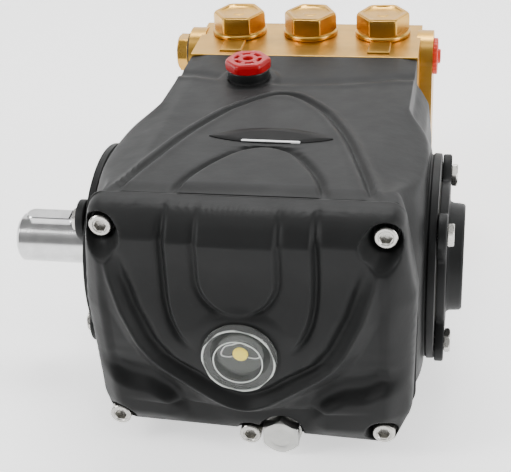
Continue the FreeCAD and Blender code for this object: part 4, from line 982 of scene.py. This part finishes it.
class PUMP_OT_sight_glass(bpy.types.Operator):
    """Oil sight glass with its reflector, level dot, window line and light-grey beads round the window's
    edges that are painted highlights
    """

    bl_idname = "pump.sight_glass"
    bl_label = "Sight glass"

    def execute(self, context):
        face = (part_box("sight_glass")[0][1] - CRANK[1]) / MM
        seat = COVER_BACK_Y - COVER_DEPTH - GLASS_BOSS
        middle = (0.0, 0.0, GLASS_Z)
        flats = 31.6
        outside = [(face + 20.0, 10.3), (face + 20.0, 12.8), (seat - 1.2, 12.9),
                   (seat - 1.15, 16.4, flats + 2.0), (face + 2.4, 16.4, flats),
                   (face + 0.9, 15.6, flats - 0.6), (face + 0.25, 14.2), (face, 12.4), (face + 0.35, 11.2),
                   (face + 0.3, 6.0), (face + 0.2, 0.0)]
        inside = [(face + 3.6, 0.0), (face + 3.9, 6.0), (face + 4.3, 9.2), (face + 5.2, 10.3)]
        window = turned(outside[::-1] + inside[::-1], middle, Y_AXIS, 0.5, 144, 12.0)
        piece("oil_window", [window], "clear_glass", ("sight_glass",), crease_deg=60.0)
        # The two beads below are light-grey rings along the window's outer and inner edges: painted
        # highlights standing in for light caught on the glass's edges.
        rims = []
        beads = ((15.5, face + 1.1, 0.42, flats - 1.2), (10.5, face + 0.25, 0.30, 0.0))
        for ring, along, wide, flat in beads:
            bead = [(along + wide * math.cos(a), ring + wide * math.sin(a), flat)
                    for a in np.linspace(0, 2 * math.pi, 9)]
            rims.append(turned(bead[:-1], middle, Y_AXIS, 0.0, 144, 12.0, looped=True))
        piece("window_highlight_rims", rims, "clear_glass", finish="window_highlight_rim")
        dish = [(face + 6.6, 0.0), (face + 6.6, 8.6), (face + 6.3, 9.6), (face + 6.6, 10.15),
                (face + 7.6, 10.15), (face + 7.6, 0.0)]
        piece("level_reflector", [turned(dish, middle, Y_AXIS, 0.15, 96)], "reflector_grey",
              ("oil_level_reflector",))
        dot = [(face + 4.9, 0.0), (face + 5.0, 1.6), (face + 5.3, 2.7), (face + 5.8, 3.3), (face + 6.6, 3.3),
               (face + 6.6, 0.0)]
        piece("level_dot", [turned(dot, middle, Y_AXIS, 0.2, 64)], "yellow_plastic", ("oil_level_dot",))
        piece("window_line", [window_line(face + 6.35)], "reflector_grey", finish="white_print")
        return {"FINISHED"}


class PUMP_OT_drain_plug(bpy.types.Operator):
    """Plated hexagon drain plug"""

    bl_idname = "pump.drain_plug"
    bl_label = "Drain plug"

    def execute(self, context):
        washer = 1.5
        start = COVER_BACK_Y - 12.0 - washer
        af = 16.0
        profile = [(10.5, 0.0), (10.5, 5.2), (9.8, 5.8), (0.05, 5.8), (0.0, 8.9), (-0.9, 9.0), (-1.2, 8.4),
                   (-1.3, 9.4, af), (-5.4, 9.4, af), (-6.6, 8.2, af), (-7.0, 6.4), (-6.7, 5.2), (-6.4, 4.6),
                   (-6.4, 0.0)]
        plug = turned(profile, (DRAIN[0], start, DRAIN[1]), Y_AXIS, 0.3, 120, 30.0)
        piece("drain_plug_body", [plug], "drain_steel", ("drain_plug",))
        return {"FINISHED"}


# ---------------------------------------------------------------- badge
def laid_on_top(outline, low, high, sizes):
    """A thin plate that follows the crankcase top: rings shrink towards the outline's middle, and each
    point's height is the top's height there plus the ring's lift."""
    middle = outline.mean(axis=0)
    edge = high - 0.08
    rows = []
    for share, lift in ((0.0, low), (0.55, low), (1.0, low), (1.0, edge), (0.985, high), (0.6, high),
                        (0.0, high)):
        flat = middle + (outline - middle) * share
        level = top_relief(flat[:, 0], flat[:, 1], sizes) + lift
        rows.append(np.stack([flat[:, 0], flat[:, 1], level], axis=1))
    return stitched(np.array(rows))


class PUMP_OT_badge(bpy.types.Operator):
    """Plain lens-shaped badge with a white line, on the crankcase top"""

    bl_idname = "pump.badge"
    bl_label = "Badge"

    def execute(self, context):
        sizes = context.scene.pump_sizes
        x = np.linspace(-1.0, 1.0, 90)
        bow = (1.0 - x ** 2) ** 0.8
        top = np.stack([1.7 + 28.9 * x, 2.0 + 10.8 * bow], axis=1)
        low = np.stack([1.7 + 28.9 * x, 2.0 - 6.6 * bow], axis=1)[::-1][1:-1]
        plate = laid_on_top(np.concatenate([top, low]), -0.2, 0.35, sizes)
        piece("badge_plate", [plate], "crankcase_paint", finish="badge_black")
        corners = [(16.1, -2.3, 0.5), (16.1, -4.0, 0.5), (-11.2, -3.5, 0.5), (-11.2, -1.8, 0.5)]
        line = rounded_outline(corners, 120)
        piece("badge_line", [laid_on_top(line, 0.0, 0.6, sizes)], "crankcase_paint", finish="badge_white")
        return {"FINISHED"}


# ---------------------------------------------------------------- carried-over parts
class PUMP_OT_working_parts(bpy.types.Operator):
    """Finishes for the parts that keep their own shape"""

    bl_idname = "pump.working_parts"
    bl_label = "Working parts"

    def execute(self, context):
        made = finishes()
        slot_of = {s["node"]: s["material_slot"] for s in frame["record"]["subparts"]}
        for node, obj in frame["nodes"].items():
            obj.data.materials.clear()
            obj.data.materials.append(made["oiled_shim"] if node == "cover_shims" else made[slot_of[node]])
        return {"FINISHED"}


# ---------------------------------------------------------------- stage
class PUMP_OT_stage(bpy.types.Operator):
    """Pale floor, soft studio light and the camera"""

    bl_idname = "pump.stage"
    bl_label = "Stage"

    def execute(self, context):
        f = Finish("studio_floor")
        cloud = f.noise(2.0, 2.0)
        paper = f.blend(cloud, (0.93, 0.93, 0.93, 1.0), (0.95, 0.95, 0.95, 1.0))
        paper_finish = f.surface(Base_Color=paper, Roughness=0.85 + cloud * 0.05, Specular_IOR_Level=0.1,
                                 Emission_Color=(1.0, 1.0, 1.0, 1.0), Emission_Strength=1.1)
        bend = 0.8
        under = 0.0004
        across = np.linspace(-9.0, 9.0, 41)
        arc = np.linspace(0.1, math.pi / 2, 12)
        along = np.concatenate([np.linspace(-7.0, 1.6, 30), 1.6 + bend * np.sin(arc), np.full(8, 1.6 + bend)])
        high = np.concatenate([np.zeros(30), bend - bend * np.cos(arc), bend + np.linspace(0.2, 2.4, 8)])
        u, v = np.meshgrid(np.arange(len(across)), np.arange(len(along)))
        points = np.stack([across[u], along[v], high[v] - under], axis=-1).reshape(-1, 3)
        row = len(across)
        corner = (v[:-1, :-1] * row + u[:-1, :-1]).ravel()
        faces = np.stack([corner, corner + 1, corner + row + 1, corner + row], axis=1)
        mesh = bpy.data.meshes.new("studio_floor")
        mesh.from_pydata(points.tolist(), [], faces.tolist())
        mesh.shade_smooth()
        mesh.materials.append(paper_finish)
        floor = bpy.data.objects.new("studio_floor", mesh)
        context.scene.collection.objects.link(floor)

        world = bpy.data.worlds.new("studio")
        context.scene.world = world
        world.use_nodes = True
        sky = world.node_tree.nodes["Background"]
        sky.inputs["Color"].default_value = (1.0, 1.0, 1.0, 1.0)
        sky.inputs["Strength"].default_value = 0.36
        for name, place, aim, width, depth, power in (
                ("top_softbox", (0.0, 0.55, 1.1), (0.0, 0.0, 0.05), 0.7, 0.3, 11.0),
                ("left_softbox", (-0.9, -0.45, 0.75), (0.0, 0.0, 0.06), 0.3, 0.5, 9.0),
                ("floor_softbox", (0.0, -0.4, 1.7), (0.0, 0.0, 0.0), 1.4, 0.5, 5.0),
                ("right_softbox", (1.0, -0.25, 0.5), (0.0, 0.0, 0.06), 0.3, 0.7, 7.0)):
            light = bpy.data.lights.new(name, "AREA")
            light.shape = "RECTANGLE"
            light.size = width
            light.size_y = depth
            light.energy = power
            lamp = bpy.data.objects.new(name, light)
            away = np.array(place) - np.array(aim)
            lamp.matrix_world = aimed(np.array(place), -away / np.linalg.norm(away), 0.0)
            context.scene.collection.objects.link(lamp)

        camera = bpy.data.cameras.new("camera")
        camera.sensor_width = 36.0
        camera.lens = 82.6
        camera.clip_start = 0.02
        camera.clip_end = 20.0
        view = bpy.data.objects.new("camera", camera)
        yaw = math.radians(11.77)
        pitch = math.radians(30.68)
        level = math.cos(pitch)
        forward = np.array([-math.sin(yaw) * level, math.cos(yaw) * level, -math.sin(pitch)])
        place = np.array([0.09142, -0.47625, 0.29486]) + CRANK
        view.matrix_world = aimed(place, forward, math.radians(-3.5))
        context.scene.collection.objects.link(view)
        context.scene.camera = view
        return {"FINISHED"}


def aimed(place, forward, roll):
    """The pose of a lamp or camera that looks along forward, its right side level and then rolled."""
    right = np.cross(forward, Z_AXIS)
    right /= np.linalg.norm(right)
    up = np.cross(right, forward)
    side = math.cos(roll) * right + math.sin(roll) * up
    rise = -math.sin(roll) * right + math.cos(roll) * up
    pose = np.eye(4)
    pose[:3, 0] = side
    pose[:3, 1] = rise
    pose[:3, 2] = -forward
    pose[:3, 3] = place
    return Matrix(pose.tolist())


# ---------------------------------------------------------------- panel and registration
OPERATORS = (
    PUMP_OT_working_parts,
    PUMP_OT_crankcase,
    PUMP_OT_rear_cover,
    PUMP_OT_side_covers,
    PUMP_OT_screws,
    PUMP_OT_crankshaft,
    PUMP_OT_valve_caps,
    PUMP_OT_port_fittings,
    PUMP_OT_filler_cap,
    PUMP_OT_sight_glass,
    PUMP_OT_drain_plug,
    PUMP_OT_badge,
    PUMP_OT_stage,
)


class PUMP_PT_panel(bpy.types.Panel):
    """Lists the pump's pieces, sizes and colours"""

    bl_idname = "PUMP_PT_panel"
    bl_label = "Plunger pump"
    bl_space_type = "VIEW_3D"
    bl_region_type = "UI"
    bl_category = "Pump"

    def draw(self, context):
        for group in (context.scene.pump_sizes, context.scene.pump_colours):
            box = self.layout.box()
            for key in group.__annotations__:
                box.prop(group, key)
        for operator in OPERATORS:
            self.layout.operator(operator.bl_idname)


CLASSES = (PumpSizes, PumpColours) + OPERATORS + (PUMP_PT_panel,)


def register():
    for cls in CLASSES:
        bpy.utils.register_class(cls)
    bpy.types.Scene.pump_sizes = PointerProperty(type=PumpSizes)
    bpy.types.Scene.pump_colours = PointerProperty(type=PumpColours)


def unregister():
    del bpy.types.Scene.pump_sizes
    del bpy.types.Scene.pump_colours
    for cls in reversed(CLASSES):
        bpy.utils.unregister_class(cls)


def main():
    register()
    for operator in OPERATORS:
        group, name = operator.bl_idname.split(".")
        getattr(getattr(bpy.ops, group), name)()


if __name__ == "__main__":
    main()
